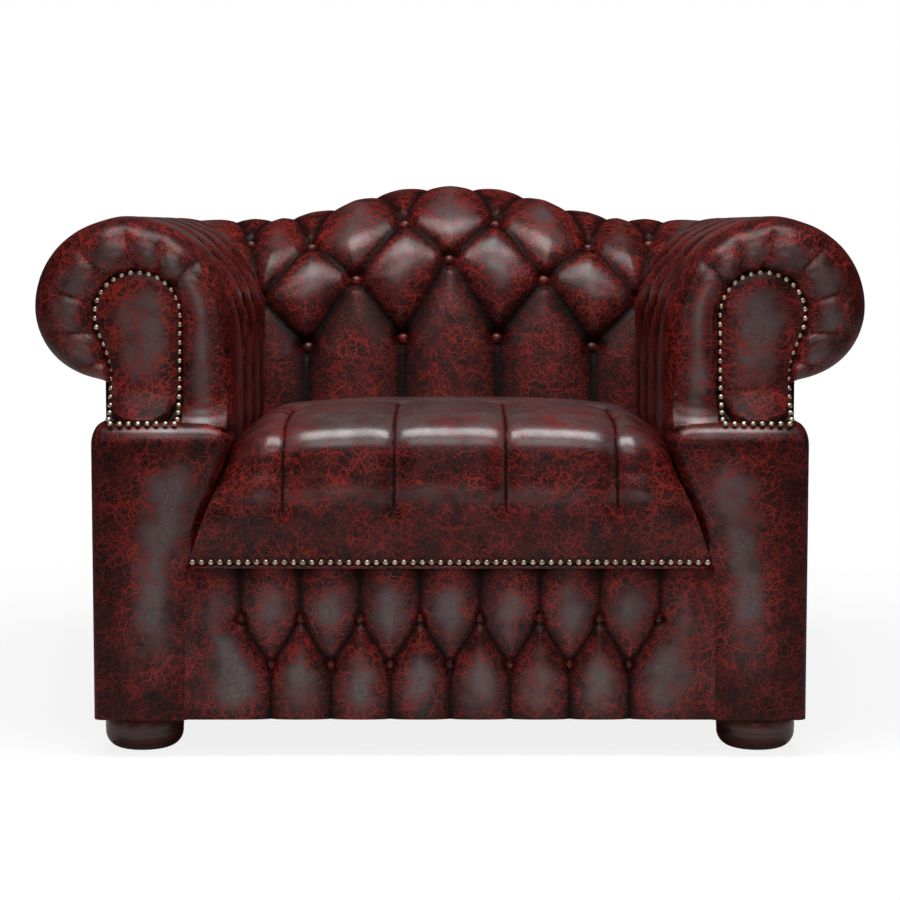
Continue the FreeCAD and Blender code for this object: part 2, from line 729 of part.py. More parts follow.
# Padding and covers of the arms
def arm_point(y, z):
    """A point on the arm's inner face, taken up over the roll, and the way the face looks."""
    if z < float(flare_top):
        turn_z = float(flare_top) - float(flare_radius) * math.sin(flare_angle)
        if z < turn_z:
            return Vector(arm_line(z), y, z), Vector(-math.cos(flare_angle), 0, -math.sin(flare_angle))
        angle = math.asin((float(flare_top) - z) / float(flare_radius))
        x = float(arm_face) + float(flare_radius) * (1 - math.cos(angle))
        return Vector(x, y, z), Vector(-math.cos(angle), 0, -math.sin(angle))
    centre_z = float(arm_height - arm_arc)
    if z < centre_z:
        return Vector(float(arm_face), y, z), Vector(-1, 0, 0)
    up = min(z - centre_z, float(arm_arc))
    x = float(arm_axis_x) - math.sqrt(float(arm_arc) ** 2 - up ** 2)
    return Vector(x, y, z), Vector(x - float(arm_axis_x), 0, up).normalize()


def arm_rows():
    """Button places on the arm as (along Y, up Z), lowest row first."""
    pitch = float(tuft_pitch)
    first = float(arm_front) + 0.55 * pitch
    low = float(seat_height) + 88
    step = 0.53 * pitch
    return [[(first + (k + 0.5) * pitch, low) for k in range(3)],
            [(first + k * pitch, low + step) for k in range(4)],
            [(first + (k + 0.5) * pitch, low + 1.85 * step) for k in range(3)]]


def make_arms(pocket):
    inset = float(quilt)
    start, end = float(arm_front), float(back_axis_y)
    gap = float(ease)
    outer = solid("arm_outer", arm_solid(0, float(tuck), start, end, float(front_round)))
    inner = solid("arm_inner", arm_solid(inset, float(tuck), start + inset, end, float(front_round) - inset))
    crest = float(arm_height) - 1
    cuts, buttons = tufting(arm_rows(), arm_point, Y_AXIS, [float(seat_height)], [crest - 12, crest])
    frame_room = solid("back_frame_room", Part.makeBox(
        float(web_x + 2 * ease), float(back_plane - web_y), float(frame_top),
        Vector(0, float(web_y - ease), 0)))
    inside = without("inside_arm", outer, inner, frame_room, solid("arm_pleats", cuts))
    both_sides("inside_arm", inside)
    both_sides("arm_buttons", solid("arm_buttons", buttons))
    low = float(tuck) + 66
    pad = solid("arm_pad_whole", arm_solid(inset + gap, low, start + inset + gap, end,
                                           float(front_round) - inset - gap))
    both_sides("arm_pad", without("arm_pad", pad, pocket, frame_room))
    both_sides("outside_arm", block("outside_arm", (side_plane - cover, side_plane),
                                    (arm_front + quilt + ease, back_axis_y - ease),
                                    (base, roll_axis_z - under_radius)))


# Padding and covers of the back
def back_rows():
    """Button places on the back as (across X, up Z), lowest row first, drooping to the sides."""
    pitch = float(tuft_pitch)
    low = float(seat_height) + 94
    return [[(k * pitch, low - 0.095 * abs(k * pitch)) for k in (-1.5, -0.5, 0.5, 1.5)],
            [(k * pitch, low + 118 - 0.215 * abs(k * pitch)) for k in (-1, 0, 1)],
            [(k * pitch, low + 198 - 0.25 * abs(k * pitch)) for k in (-1.5, -0.5, 0.5, 1.5)]]


def make_back():
    inset = float(quilt)
    gap = float(ease)
    outer = solid("back_outer", back_solid(0, float(tack_rail_z) + 10))
    inner = solid("back_inner", back_solid(inset, float(tack_rail_z) + 10))
    arm = arm_solid(-gap, float(tuck), float(arm_front), float(back_axis_y) + gap, float(front_round))
    cavity = Part.makeBox(float(post_outer - web_x) + gap, float(back_axis_y - arm_front),
                          float(frame_top) + 2 * gap, Vector(float(web_x) - gap, float(arm_front), 0))
    arm = arm.fuse(cavity)
    arms = solid("arm_room", Part.makeCompound([arm, arm.mirror(Vector(0, 0, 0), X_AXIS)]))
    cuts, buttons = tufting(back_rows(), back_point, X_AXIS, [float(seat_height) + 12], [])
    ends = []
    for x, z in back_rows()[-1]:
        crest = float(arm_height) + hump_at(x)
        for one, two in ((z, (z + crest) / 2), ((z + crest) / 2, crest - 4), (crest - 4, crest)):
            (start, tilt), (end, end_tilt) = back_point(x, one), back_point(x, two)
            ends.append(pleat(start, end, (tilt + end_tilt).normalize(), float(pleat_depth), 7))
    pleats = solid("back_pleats", Part.makeCompound(cuts.SubShapes + ends))
    keep(without("inside_back", outer, inner, arms, pleats), "inside_back")
    keep(solid("back_buttons", buttons), "back_buttons")
    pad = solid("back_pad_whole", back_solid(inset + gap, float(tack_rail_z) + 10))
    keep(without("back_pad", pad, arms), "back_pad")
    make_outside_back()


def make_outside_back():
    """A flat panel under the back's roll, its ends wrapped round the corners to meet the arms."""
    low = float(base)
    neck = float(roll_axis_z - under_radius)
    half = float(arm_axis_x)
    thick = float(cover)
    places = [half * k / 12 for k in range(-12, 13)]
    crest = Part.BSplineCurve()
    crest.interpolate([Vector(x, float(back_plane), neck + hump_at(x)) for x in places])
    side = Part.LineSegment(Vector(half, float(back_plane), neck), Vector(half, float(back_plane), low))
    foot = Part.LineSegment(Vector(half, float(back_plane), low), Vector(-half, float(back_plane), low))
    rise = Part.LineSegment(Vector(-half, float(back_plane), low), Vector(-half, float(back_plane), neck))
    panel = Part.Face(Part.Wire([crest.toShape(), side.toShape(), foot.toShape(), rise.toShape()]))
    panel = panel.extrude(Vector(0, -thick, 0))
    corners = []
    for way in SIDES.values():
        centre = Vector(way * half, float(back_axis_y), low)
        ring = Part.makeCylinder(float(outside_gap), neck - low, centre, Z_AXIS, 90)
        ring = ring.cut(Part.makeCylinder(float(outside_gap - cover), neck - low, centre, Z_AXIS, 90))
        if way < 0:
            ring.rotate(centre, Z_AXIS, 90)
        corners.append(ring)
    keep(solid("outside_back", panel.fuse(corners).removeSplitter()), "outside_back")


# Front posts and the nailed facings
def cove_point(z, off=0):
    """Where the arm's front lies at a height above the ledge, off millimetres out from it."""
    top, radius = float(cove_top), float(cove_radius)
    front = float(arm_front)
    if z >= top:
        return front - off
    return front - radius + math.sqrt(max((radius - off) ** 2 - (top - z) ** 2, 0))


def post_profile(inset, rear):
    """The post seen from the side: up over the ledge and the cove, and on behind the facing."""
    front, low = float(front_y) + inset, float(base)
    ledge, cove = float(ledge_radius) - inset, float(cove_radius) + inset
    span = float(cove_radius + ledge_radius)
    level = span - float(arm_setback)
    drop = math.sqrt(span ** 2 - level ** 2)
    cove_centre = (float(arm_front - cove_radius), float(cove_top))
    ledge_centre = (cove_centre[0] + level, cove_centre[1] - drop)
    turn = -math.degrees(math.atan2(drop, level))
    top = float(frame_top) - inset - float(ease)
    runs = [((rear, low), None), ((front, low), None),
            ((front, ledge_centre[1]), on_arc(ledge_centre, ledge, 180 + turn / 2)),
            (on_arc(cove_centre, cove, turn), on_arc(cove_centre, cove, turn / 2)),
            (on_arc(cove_centre, cove, 0), None), ((float(arm_front) + inset, top), None),
            ((rear, top), None)]
    return wire([(Vector(0, p[0], p[1]), via and Vector(0, via[0], via[1])) for p, via in runs])


def post_solid(inset, rear):
    """The post where its side, front and plan outlines all agree."""
    wide = float(post_outer)
    side = Part.Face(post_profile(inset, rear)).extrude(Vector(wide, 0, 0))
    high = float(frame_top)
    top_x = arm_line(float(flare_top) - 20, inset)
    knee = float(flare_top) - 20 - (float(post_inner) + inset - top_x) / math.tan(flare_angle)
    ledge_top = float(cove_top) - float(cove_radius) * math.sin(math.radians(60))
    points = [(float(post_outer) - inset, 0), (float(post_outer) - inset, ledge_top - float(side_inset)),
              (float(side_plane) - inset, ledge_top), (float(side_plane) - inset, high), (top_x, high),
              (top_x, float(flare_top) - 20), (float(post_inner) + inset, knee),
              (float(post_inner) + inset, 0)]
    corners = [Vector(u, float(front_y) - 5, v) for u, v in points]
    front = Part.Face(Part.makePolygon(corners + corners[:1])).extrude(Vector(0, 120, 0))
    plan_round = 16 - inset
    plan = Part.makeBox(400, 120, high, Vector(float(post_outer) - inset - 400, float(front_y) + inset, 0))
    edge = [e for e in plan.Edges if e.BoundBox.XMin > float(post_outer) - inset - 1e-3
            and e.BoundBox.YMax < float(front_y) + inset + 1e-3]
    plan = plan.makeFillet(plan_round, edge)
    arm_room = Part.makeBox(float(web_x + ease), 200, high,
                            Vector(0, float(arm_front - ease), float(tuck - ease)))
    return side.common(front).common(plan).cut(arm_room)


def make_posts():
    rear = float(board_front) - float(ease)
    thick = float(cover)
    outer, inner = post_solid(0, rear), post_solid(thick, rear)
    both_sides("post_cover", solid("post_cover", outer.cut(inner)))
    pad = post_solid(thick + float(ease), rear)
    both_sides("post_pad", solid("post_pad", pad))


def facing_wire(inset, y):
    """The tongue-shaped facing seen from the front, right-hand arm."""
    radius = 62.5 - inset
    head = (float(arm_axis_x) - 22.5, float(roll_axis_z) - 10)
    low = float(cove_top) - 68 + inset
    waist = float(side_plane) - 5.5 - inset
    right = head[0] - radius
    runs = [((right, head[1]), on_arc(head, radius, 100)),
            (on_arc(head, radius, -30), None),
            ((waist, float(cove_top) + 15), None), ((waist + 2, low), None), ((right + 2, low), None)]
    return wire([(Vector(p[0], y, p[1]), via and Vector(via[0], y, via[1])) for p, via in runs])


def make_facings():
    """Padded facings bent to the cove, with nails at an even pitch round them."""
    gap, thick = float(ease), 5.0
    centre = (float(arm_front - cove_radius), float(cove_top))
    near, far = float(cove_radius) - gap, float(cove_radius) - gap - thick
    high = float(arm_height)
    runs = [((centre[0] + near, high), None), (on_arc(centre, near, 0), on_arc(centre, near, -30)),
            (on_arc(centre, near, -60), None), (on_arc(centre, far, -60), on_arc(centre, far, -30)),
            (on_arc(centre, far, 0), None), ((centre[0] + far, high), None)]
    bent = Part.Face(wire([(Vector(0, p[0], p[1]), via and Vector(0, via[0], via[1]))
                           for p, via in runs])).extrude(Vector(float(post_outer), 0, 0))
    outline = Part.Face(facing_wire(0, float(front_y) - 5)).extrude(Vector(0, 100, 0))
    both_sides("facing", solid("facing", bent.common(outline)))
    fine = facing_wire(5, 0).discretize(400)
    path = [Vector(p.x, cove_point(p.z, gap + thick), p.z) for p in fine]
    nails = []
    for spot in evenly(path, float(nail_pitch)):
        tilt = Vector(0, -1, 0)
        if spot.z < float(cove_top):
            tilt = Vector(0, centre[0] - spot.y, centre[1] - spot.z).normalize()
        nails.append(dome(spot + tilt * gap, tilt, X_AXIS, float(nail_radius), 2.5, 6))
    both_sides("facing_nails", solid("facing_nails", Part.makeCompound(nails)))


def evenly(path, pitch):
    """Points along a closed path at an even spacing close to the pitch."""
    loop = path + path[:1]
    lengths = [0.0]
    for one, two in zip(loop, loop[1:]):
        lengths.append(lengths[-1] + (two - one).Length)
    count = round(lengths[-1] / pitch)
    spots = []
    for number in range(count):
        wanted = lengths[-1] * number / count
        k = next(i for i in range(len(loop) - 1) if lengths[i + 1] >= wanted)
        share = (wanted - lengths[k]) / max(lengths[k + 1] - lengths[k], 1e-9)
        spots.append(loop[k] + (loop[k + 1] - loop[k]) * share)
    return spots


# Seat
def seat_section(y, top, inset):
    """The seat across the chair: five crowned panels between sewn channels, sides drawn in."""
    low = float(seat_base)
    wide = arm_line(low) - float(seat_gap) - inset
    narrow = float(arm_face) - 8 - inset
    sink = float(channel_depth)
    shoulder = top - 2 * sink
    share = (shoulder - low) / float(flare_top - seat_base)
    edge = wide - (wide - narrow) * min(share, 1.0)
    marks = [-edge] + [place * float(tuft_pitch) for place in (-1.5, -0.5, 0.5, 1.5)] + [edge]
    runs = [(Vector(-wide, y, low), None)]
    for number, (one, two) in enumerate(zip(marks, marks[1:])):
        z_one = shoulder if number == 0 else top - sink
        z_two = shoulder if number == len(marks) - 2 else top - sink
        middle = Vector((one + two) / 2, y, top if 0 < number < len(marks) - 2 else top - sink * 0.6)
        runs.append((Vector(one, y, z_one), middle))
    runs.append((Vector(edge, y, shoulder), None))
    runs.append((Vector(wide, y, low), None))
    return wire(runs)


def seat_solid(inset):
    """The seat lofted from the nose over the crown to the back."""
    front, high = float(seat_front_y) + inset, float(seat_height) - inset
    depth = float(seat_back_y - seat_front_y)
    stations = [(0, 0.6), (4, 0.75), (14, 0.87), (34, 0.94), (75, 0.98), (0.4 * depth, 1.0),
                (1.03 * depth, 0.95)]
    low = float(seat_base)
    sections = [seat_section(front + along, low + (high - low) * share, inset)
                for along, share in stations]
    return Part.makeLoft(sections, True, True)


def make_seat():
    lean = math.radians(float(back_lean))
    behind = Part.makeBox(2 * float(post_inner), 200, 400, Vector(-float(post_inner), 0, -200))
    behind.rotate(Vector(0, 0, 0), X_AXIS, -float(back_lean))
    behind.translate(Vector(0, float(seat_back_y) - float(ease) / math.cos(lean), float(seat_height)))
    limit = solid("seat_limit", behind)
    outer, inner = solid("seat_outer", seat_solid(0)), solid("seat_inner", seat_solid(float(cover)))
    keep(without("seat_cover", outer, inner, limit), "seat_cover")
    pad = solid("seat_pad_whole", seat_solid(float(cover + ease)))
    keep(without("seat_pad", pad, limit), "seat_pad")


# Buttoned border and its row of nails
def border_point(x, z):
    return Vector(x, float(front_y + border_setback), z), Vector(0, -1, 0)


def make_border():
    low, high = float(base), float(border_top)
    front = float(front_y + border_setback)
    half = float(post_inner) - 2
    drawn = 6.0
    runs = [((front + float(quilt), low), None), ((front + drawn, low), (front, (low + high) / 2)),
            ((front + drawn, high), None), ((front + float(quilt), high), None)]
    whole = Part.Face(wire([(Vector(-half, p[0], p[1]), via and Vector(-half, via[0], via[1]))
                            for p, via in runs])).extrude(Vector(2 * half, 0, 0))
    pitch = float(border_tuft_pitch)
    lower = low + 0.355 * float(border_height)
    upper = low + 0.655 * float(border_height)
    rows = [[(k * pitch, lower) for k in range(-3, 4)],
            [((k + 0.5) * pitch, upper) for k in range(-4, 4)]]
    cuts, buttons = tufting(rows, border_point, X_AXIS, [low - 2], [high + 2], 16)
    keep(without("border_cover", solid("border_whole", whole), solid("border_pleats", cuts)),
         "border_cover")
    keep(solid("border_buttons", buttons), "border_buttons")
    keep(block("border_pad", (-post_inner + 2, post_inner - 2),
               (front_y + border_setback + quilt + ease, board_front - ease), (base, border_top)),
         "border_pad")
    count = round(2 * half / float(nail_pitch))
    step = 2 * half / count
    nails = []
    for number in range(count):
        spot = Vector(-half + (number + 0.5) * step, float(front_y) + 4 - float(ease), float(seat_base) + 6)
        nails.append(dome(spot, Vector(0, -1, 0), X_AXIS, float(nail_radius), 2.5, 6))
    keep(solid("border_nails", Part.makeCompound(nails)), "border_nails")


def check_pieces():
    """Stop if any object failed or any piece is empty or broken."""
    doc.recompute()
    for thing in doc.Objects:
        if "Invalid" in thing.State or "Error" in thing.State:
            raise RuntimeError(f"{thing.Label}: {thing.State}")
    for label, thing in pieces.items():
        if thing.Shape.isNull() or not thing.Shape.isValid() or not thing.Shape.Solids:
            raise RuntimeError(f"{label}: no sound solid")


def main():
    inner_x = make_rails()
    make_rear_posts(inner_x)
    pocket = make_front_boards()
    make_back_top_rail()
    make_foot_blocks()
    make_feet()
    make_foot_fixings()
    make_springs()
    make_cloths(inner_x)
    make_arms(pocket)
    make_back()
    make_posts()
    make_facings()
    make_seat()
    make_border()
    check_pieces()
    os.makedirs("parts", exist_ok=True)
    for label, thing in pieces.items():
        thing.Shape.exportStep(f"parts/{label}.step")
    print(len(pieces), "pieces")


main()
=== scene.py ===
import json
import math

import bmesh
import bpy
import numpy as np
from mathutils import Matrix, Vector


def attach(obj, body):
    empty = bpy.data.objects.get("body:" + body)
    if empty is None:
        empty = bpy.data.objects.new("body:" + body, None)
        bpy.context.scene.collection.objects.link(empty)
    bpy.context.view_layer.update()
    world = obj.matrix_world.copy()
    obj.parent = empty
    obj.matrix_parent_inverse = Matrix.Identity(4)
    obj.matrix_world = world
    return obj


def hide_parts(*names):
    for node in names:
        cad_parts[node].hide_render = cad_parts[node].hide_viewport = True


bl_info = {
    "name": "Chesterfield armchair",
    "version": (1, 0, 0),
    "blender": (4, 5, 0),
    "location": "View3D > Sidebar > Armchair",
    "description": "Covers, buttons and nails of a deep-buttoned club armchair, with its finishes and stage",
    "category": "Add Mesh",
}

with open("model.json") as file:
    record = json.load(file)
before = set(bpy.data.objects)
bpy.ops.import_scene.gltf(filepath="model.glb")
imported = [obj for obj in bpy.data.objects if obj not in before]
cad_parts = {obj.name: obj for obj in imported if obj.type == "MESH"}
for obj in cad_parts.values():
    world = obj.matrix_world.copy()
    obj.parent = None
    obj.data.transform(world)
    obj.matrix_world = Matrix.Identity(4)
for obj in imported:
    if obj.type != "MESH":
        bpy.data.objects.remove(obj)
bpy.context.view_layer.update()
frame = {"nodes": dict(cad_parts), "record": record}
nodes = frame["nodes"]

# Places that the covers share with the frame, in metres
ARM_AXIS = 0.445
BACK_AXIS = 0.324
ARM_TOP = 0.728
ARM_FACE = 0.293
ARM_FRONT = -0.395
FRONT = -0.445
POST_OUTER = 0.483
SIDE = 0.468
REAR = 0.347
ROLL = 0.121
UNDER = 0.097
NECK = 0.51
SEAT_TOP = 0.457
BACK_FACE = 0.12
BORDER_TOP = 0.26
BORDER_FACE = -0.4365
BASE = 0.05
LEDGE = 0.447
ARM_ROUND = ARM_AXIS - ARM_FACE
ARM_LEVEL = ARM_TOP - ARM_ROUND
FLARE = 0.12
FLARE_LEVEL = 0.45
CREST_HALF = 0.33
CREST_RISE = 0.053
BUTTON_PITCH = 0.15
BUTTON_HEIGHT = 0.006
NAIL_HEIGHT = 0.0032

# Circles, each with the two places of its centre and its radius
COVE = (-0.475, 0.515, 0.08)
HEAD = (0.4225, 0.597, 0.0625)

# How far the camera looks down, in degrees
CAMERA_TILT = 5.139


# Curves and grids
def arc(centre, radius, start, end, steps=24):
    """Points along a circle between two angles in degrees."""
    turn = np.radians(np.linspace(start, end, steps))
    return np.c_[centre[0] + radius * np.cos(turn), centre[1] + radius * np.sin(turn)]


def along(points):
    """How far each point lies along its line."""
    return np.r_[0, np.cumsum(np.linalg.norm(np.diff(points, axis=0), axis=1))]


def evenly(points, count):
    """A line given again by evenly spaced points."""
    run = along(points)
    at = np.linspace(0, run[-1], count)
    return np.stack([np.interp(at, run, points[:, k]) for k in range(points.shape[1])], axis=1)


def rounded(points, times=4):
    """A line with its corners cut again and again, its ends kept."""
    points = np.asarray(points, float)
    for _ in range(times):
        near = points[:-1] * 0.75 + points[1:] * 0.25
        far = points[:-1] * 0.25 + points[1:] * 0.75
        middle = np.stack([near, far], axis=1).reshape(-1, points.shape[1])
        points = np.vstack([points[:1], middle, points[-1:]])
    return points


def smoothstep(low, high, value):
    """0 at low, 1 at high and smooth in between; low may be the larger."""
    share = np.clip((value - low) / (high - low), 0, 1)
    return share * share * (3 - 2 * share)


def outward(points):
    """The unit normal at each point of a grid of points."""
    across = np.gradient(points, axis=1)
    down = np.gradient(points, axis=0)
    normal = np.cross(across, down)
    return normal / np.maximum(np.linalg.norm(normal, axis=2, keepdims=True), 1e-12)


def soften(field, times):
    """A field on a grid, averaged with its neighbours."""
    for _ in range(times):
        for axis in (0, 1):
            padded = np.concatenate([np.take(field, [0], axis), field, np.take(field, [-1], axis)], axis)
            count = field.shape[axis]
            before = np.take(padded, range(count), axis)
            after = np.take(padded, range(2, count + 2), axis)
            field = 0.25 * before + 0.5 * field + 0.25 * after
    return field


# Deep buttoning
def quilted(s, t, buttons, pleats, pillow, pit, reach):
    """How far leather is drawn in, at flat places (s, t), by buttons and pleats, and how open it lies.

    A pleat is (s, t, s, t, depth at its start, depth at its end)."""
    drawn, closed = np.zeros_like(s), np.zeros_like(s)
    for one_s, one_t, two_s, two_t, deep, shallow in pleats:
        run_s, run_t = two_s - one_s, two_t - one_t
        share = np.clip(((s - one_s) * run_s + (t - one_t) * run_t) / (run_s ** 2 + run_t ** 2), 0, 1)
        away = np.hypot(s - one_s - share * run_s, t - one_t - share * run_t)
        near = 1 - np.clip(away / pillow, 0, 1)
        depth = deep + (shallow - deep) * share - 0.25 * min(deep, shallow) * np.sin(np.pi * share)
        drawn = np.maximum(drawn, depth * (1 - np.sqrt(1 - near ** 2)))
        closed = np.maximum(closed, near * np.clip(depth / 0.006, 0, 1))
    for place_s, place_t in buttons:
        away = np.hypot(s - place_s, t - place_t)
        drawn = drawn + pit * (1 - smoothstep(0, reach, away))
        closed = np.maximum(closed, 1 - smoothstep(0, 1.6 * reach, away))
    return drawn, 1 - closed


def hump(x):
    """How far the back's crest stands above the arms."""
    bend = (CREST_HALF ** 2 / 4 + CREST_RISE ** 2 / 4) / CREST_RISE
    reach = abs(x)
    if reach < CREST_HALF / 2:
        return CREST_RISE - bend + math.sqrt(bend ** 2 - reach ** 2)
    if reach < CREST_HALF:
        return bend - math.sqrt(bend ** 2 - (CREST_HALF - reach) ** 2)
    return 0.0


def roll_line(axis, top):
    """From the crest of a roll, over its outside, to the neck under it."""
    middle = top - ROLL
    outer = arc((axis, middle), ROLL, 90, 0)
    under = arc((axis + ROLL - UNDER, middle), UNDER, 0, -90.6)
    return np.vstack([outer[1:], under[1:]])


def arm_line():
    """The right arm across the chair: up its inner face, over the roll, to the neck."""
    lean, low = 20, 0.27
    flare = arc((ARM_FACE + FLARE, FLARE_LEVEL), FLARE, 180 + lean, 180, 8)
    foot = (flare[0][0] + (flare[0][1] - low) * math.tan(math.radians(lean)), low)
    inner = arc((ARM_AXIS, ARM_LEVEL), ARM_ROUND, 180, 90, 40)
    return np.vstack([[foot], flare, inner, roll_line(ARM_AXIS, ARM_TOP)])


def back_line(x):
    """The back along the chair at one place across it: up its face, over the roll, to the neck."""
    degrees, low = 12, 0.33
    lean = math.radians(degrees)
    crest = ARM_TOP + hump(x)
    deep, tall = BACK_AXIS - BACK_FACE, crest - SEAT_TOP
    radius = (deep * math.cos(lean) - tall * math.sin(lean)) / (1 - math.sin(lean))
    inner = arc((BACK_AXIS, crest - radius), radius, 180 - degrees, 90, 40)
    foot = (BACK_FACE - (SEAT_TOP - low) * math.tan(lean), low)
    return np.vstack([[foot], inner, roll_line(BACK_AXIS, crest)])


# Pieces
def finish_piece(piece, replaced=()):
    """Give a new piece its body and hide the CAD nodes that it stands for."""
    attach(piece, "root")
    if replaced:
        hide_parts(*replaced)
    return piece


def new_piece(name, bm, material, smooth=True):
    """A piece from its mesh, with one finish; leather without a crown gets an even one."""
    if material == "leather" and "crown" not in bm.verts.layers.float:
        tone = bm.verts.layers.float.new("crown")
        for vert in bm.verts:
            vert[tone] = 0.4
    mesh = bpy.data.meshes.new(name)
    bm.to_mesh(mesh)
    bm.free()
    for face in mesh.polygons:
        face.use_smooth = smooth
    mesh.materials.append(bpy.data.materials[material])
    piece = bpy.data.objects.new(name, mesh)
    bpy.context.scene.collection.objects.link(piece)
    return piece


def leather_sheet(name, points, lift, crown, flip=False, weld=False):
    """A grid of leather laid on a surface and raised or drawn in along its normals."""
    rows, columns = lift.shape
    bm = bmesh.new()
    bmesh.ops.create_grid(bm, x_segments=columns - 1, y_segments=rows - 1, size=0.5)
    tone = bm.verts.layers.float.new("crown")
    shaped = points + outward(points) * (-lift if flip else lift)[..., None]
    for vert in bm.verts:
        column = round((vert.co.x + 0.5) * (columns - 1))
        row = round((vert.co.y + 0.5) * (rows - 1))
        vert.co = shaped[row, column]
        vert[tone] = crown[row, column]
    if flip:
        bmesh.ops.reverse_faces(bm, faces=bm.faces)
    if weld:
        bmesh.ops.remove_doubles(bm, verts=bm.verts, dist=0.0002)
    return new_piece(name, bm, "leather")


def mirrored(points):
    """The same points on the other side of the chair."""
    turned = points.copy()
    turned[..., 0] *= -1
    return turned


def place_domes(name, places, radius, height, material, segments=16, rings=5):
    """Low domes at places given as a point and the way that it looks."""
    bm = bmesh.new()
    for point, look in places:
        centre, up = Vector(point), Vector(look).normalized()
        turn = Vector(look).to_track_quat("Z", "Y").to_matrix().to_4x4()
        stand = Matrix.Translation(centre) @ turn @ Matrix.Diagonal((radius, radius, height, 1))
        made = bmesh.ops.create_uvsphere(bm, u_segments=segments, v_segments=2 * rings, radius=1,
                                         matrix=stand)
        low = [v for v in made["verts"] if up.dot(v.co - centre) < -0.35 * height]
        bmesh.ops.delete(bm, geom=low, context="VERTS")
    return new_piece(name, bm, material)


def islands(name):
    """The middle of each loose solid of a CAD node."""
    bm = bmesh.new()
    bm.from_mesh(nodes[name].data)
    bmesh.ops.remove_doubles(bm, verts=bm.verts, dist=0.00005)
    left, middles = set(bm.verts), []
    while left:
        group, front = set(), [next(iter(left))]
        while front:
            vert = front.pop()
            if vert in group:
                continue
            group.add(vert)
            front += [edge.other_vert(vert) for edge in vert.link_edges]
        left -= group
        corners = np.array([v.co for v in group])
        middles.append((corners.min(0) + corners.max(0)) / 2)
    bm.free()
    return middles


def welt_along(name, path, radius):
    """A welt of leather along a line of points."""
    curve = bpy.data.curves.new(name, "CURVE")
    curve.dimensions = "3D"
    curve.bevel_depth = radius
    curve.bevel_resolution = 2
    curve.use_fill_caps = True
    spline = curve.splines.new("NURBS")
    spline.points.add(len(path) - 1)
    for point, place in zip(spline.points, path):
        point.co = (*place, 1)
    spline.use_endpoint_u = True
    spline.order_u = 3
    source = bpy.data.objects.new(name + "_line", curve)
    mesh = bpy.data.meshes.new_from_object(source)
    bpy.data.objects.remove(source)
    bpy.data.curves.remove(curve)
    bm = bmesh.new()
    bm.from_mesh(mesh)
    bpy.data.meshes.remove(mesh)
    bmesh.ops.remove_doubles(bm, verts=bm.verts, dist=0.00005)
    return new_piece(name, bm, "leather")


# Materials
class Value:
    """A shader socket that can be used in sums."""

    def __init__(self, finish, socket):
        self.finish = finish
        self.socket = socket

    def sum(self, operation, one, two):
        return self.finish.node("ShaderNodeMath", {"operation": operation}, {0: one, 1: two})

    def __add__(self, other):
        return self.sum("ADD", self, other)

    def __radd__(self, other):
        return self.sum("ADD", other, self)

    def __sub__(self, other):
        return self.sum("SUBTRACT", self, other)

    def __rsub__(self, other):
        return self.sum("SUBTRACT", other, self)

    def __mul__(self, other):
        return self.sum("MULTIPLY", self, other)

    def __rmul__(self, other):
        return self.sum("MULTIPLY", other, self)

    def between(self, low, high):
        """0 below low, 1 above high and smooth in between; low may be the larger."""
        settings = {"interpolation_type": "SMOOTHSTEP"}
        if low < high:
            return self.finish.node("ShaderNodeMapRange", settings, {0: self, 1: low, 2: high})
        return 1 - self.finish.node("ShaderNodeMapRange", settings, {0: self, 1: high, 2: low})


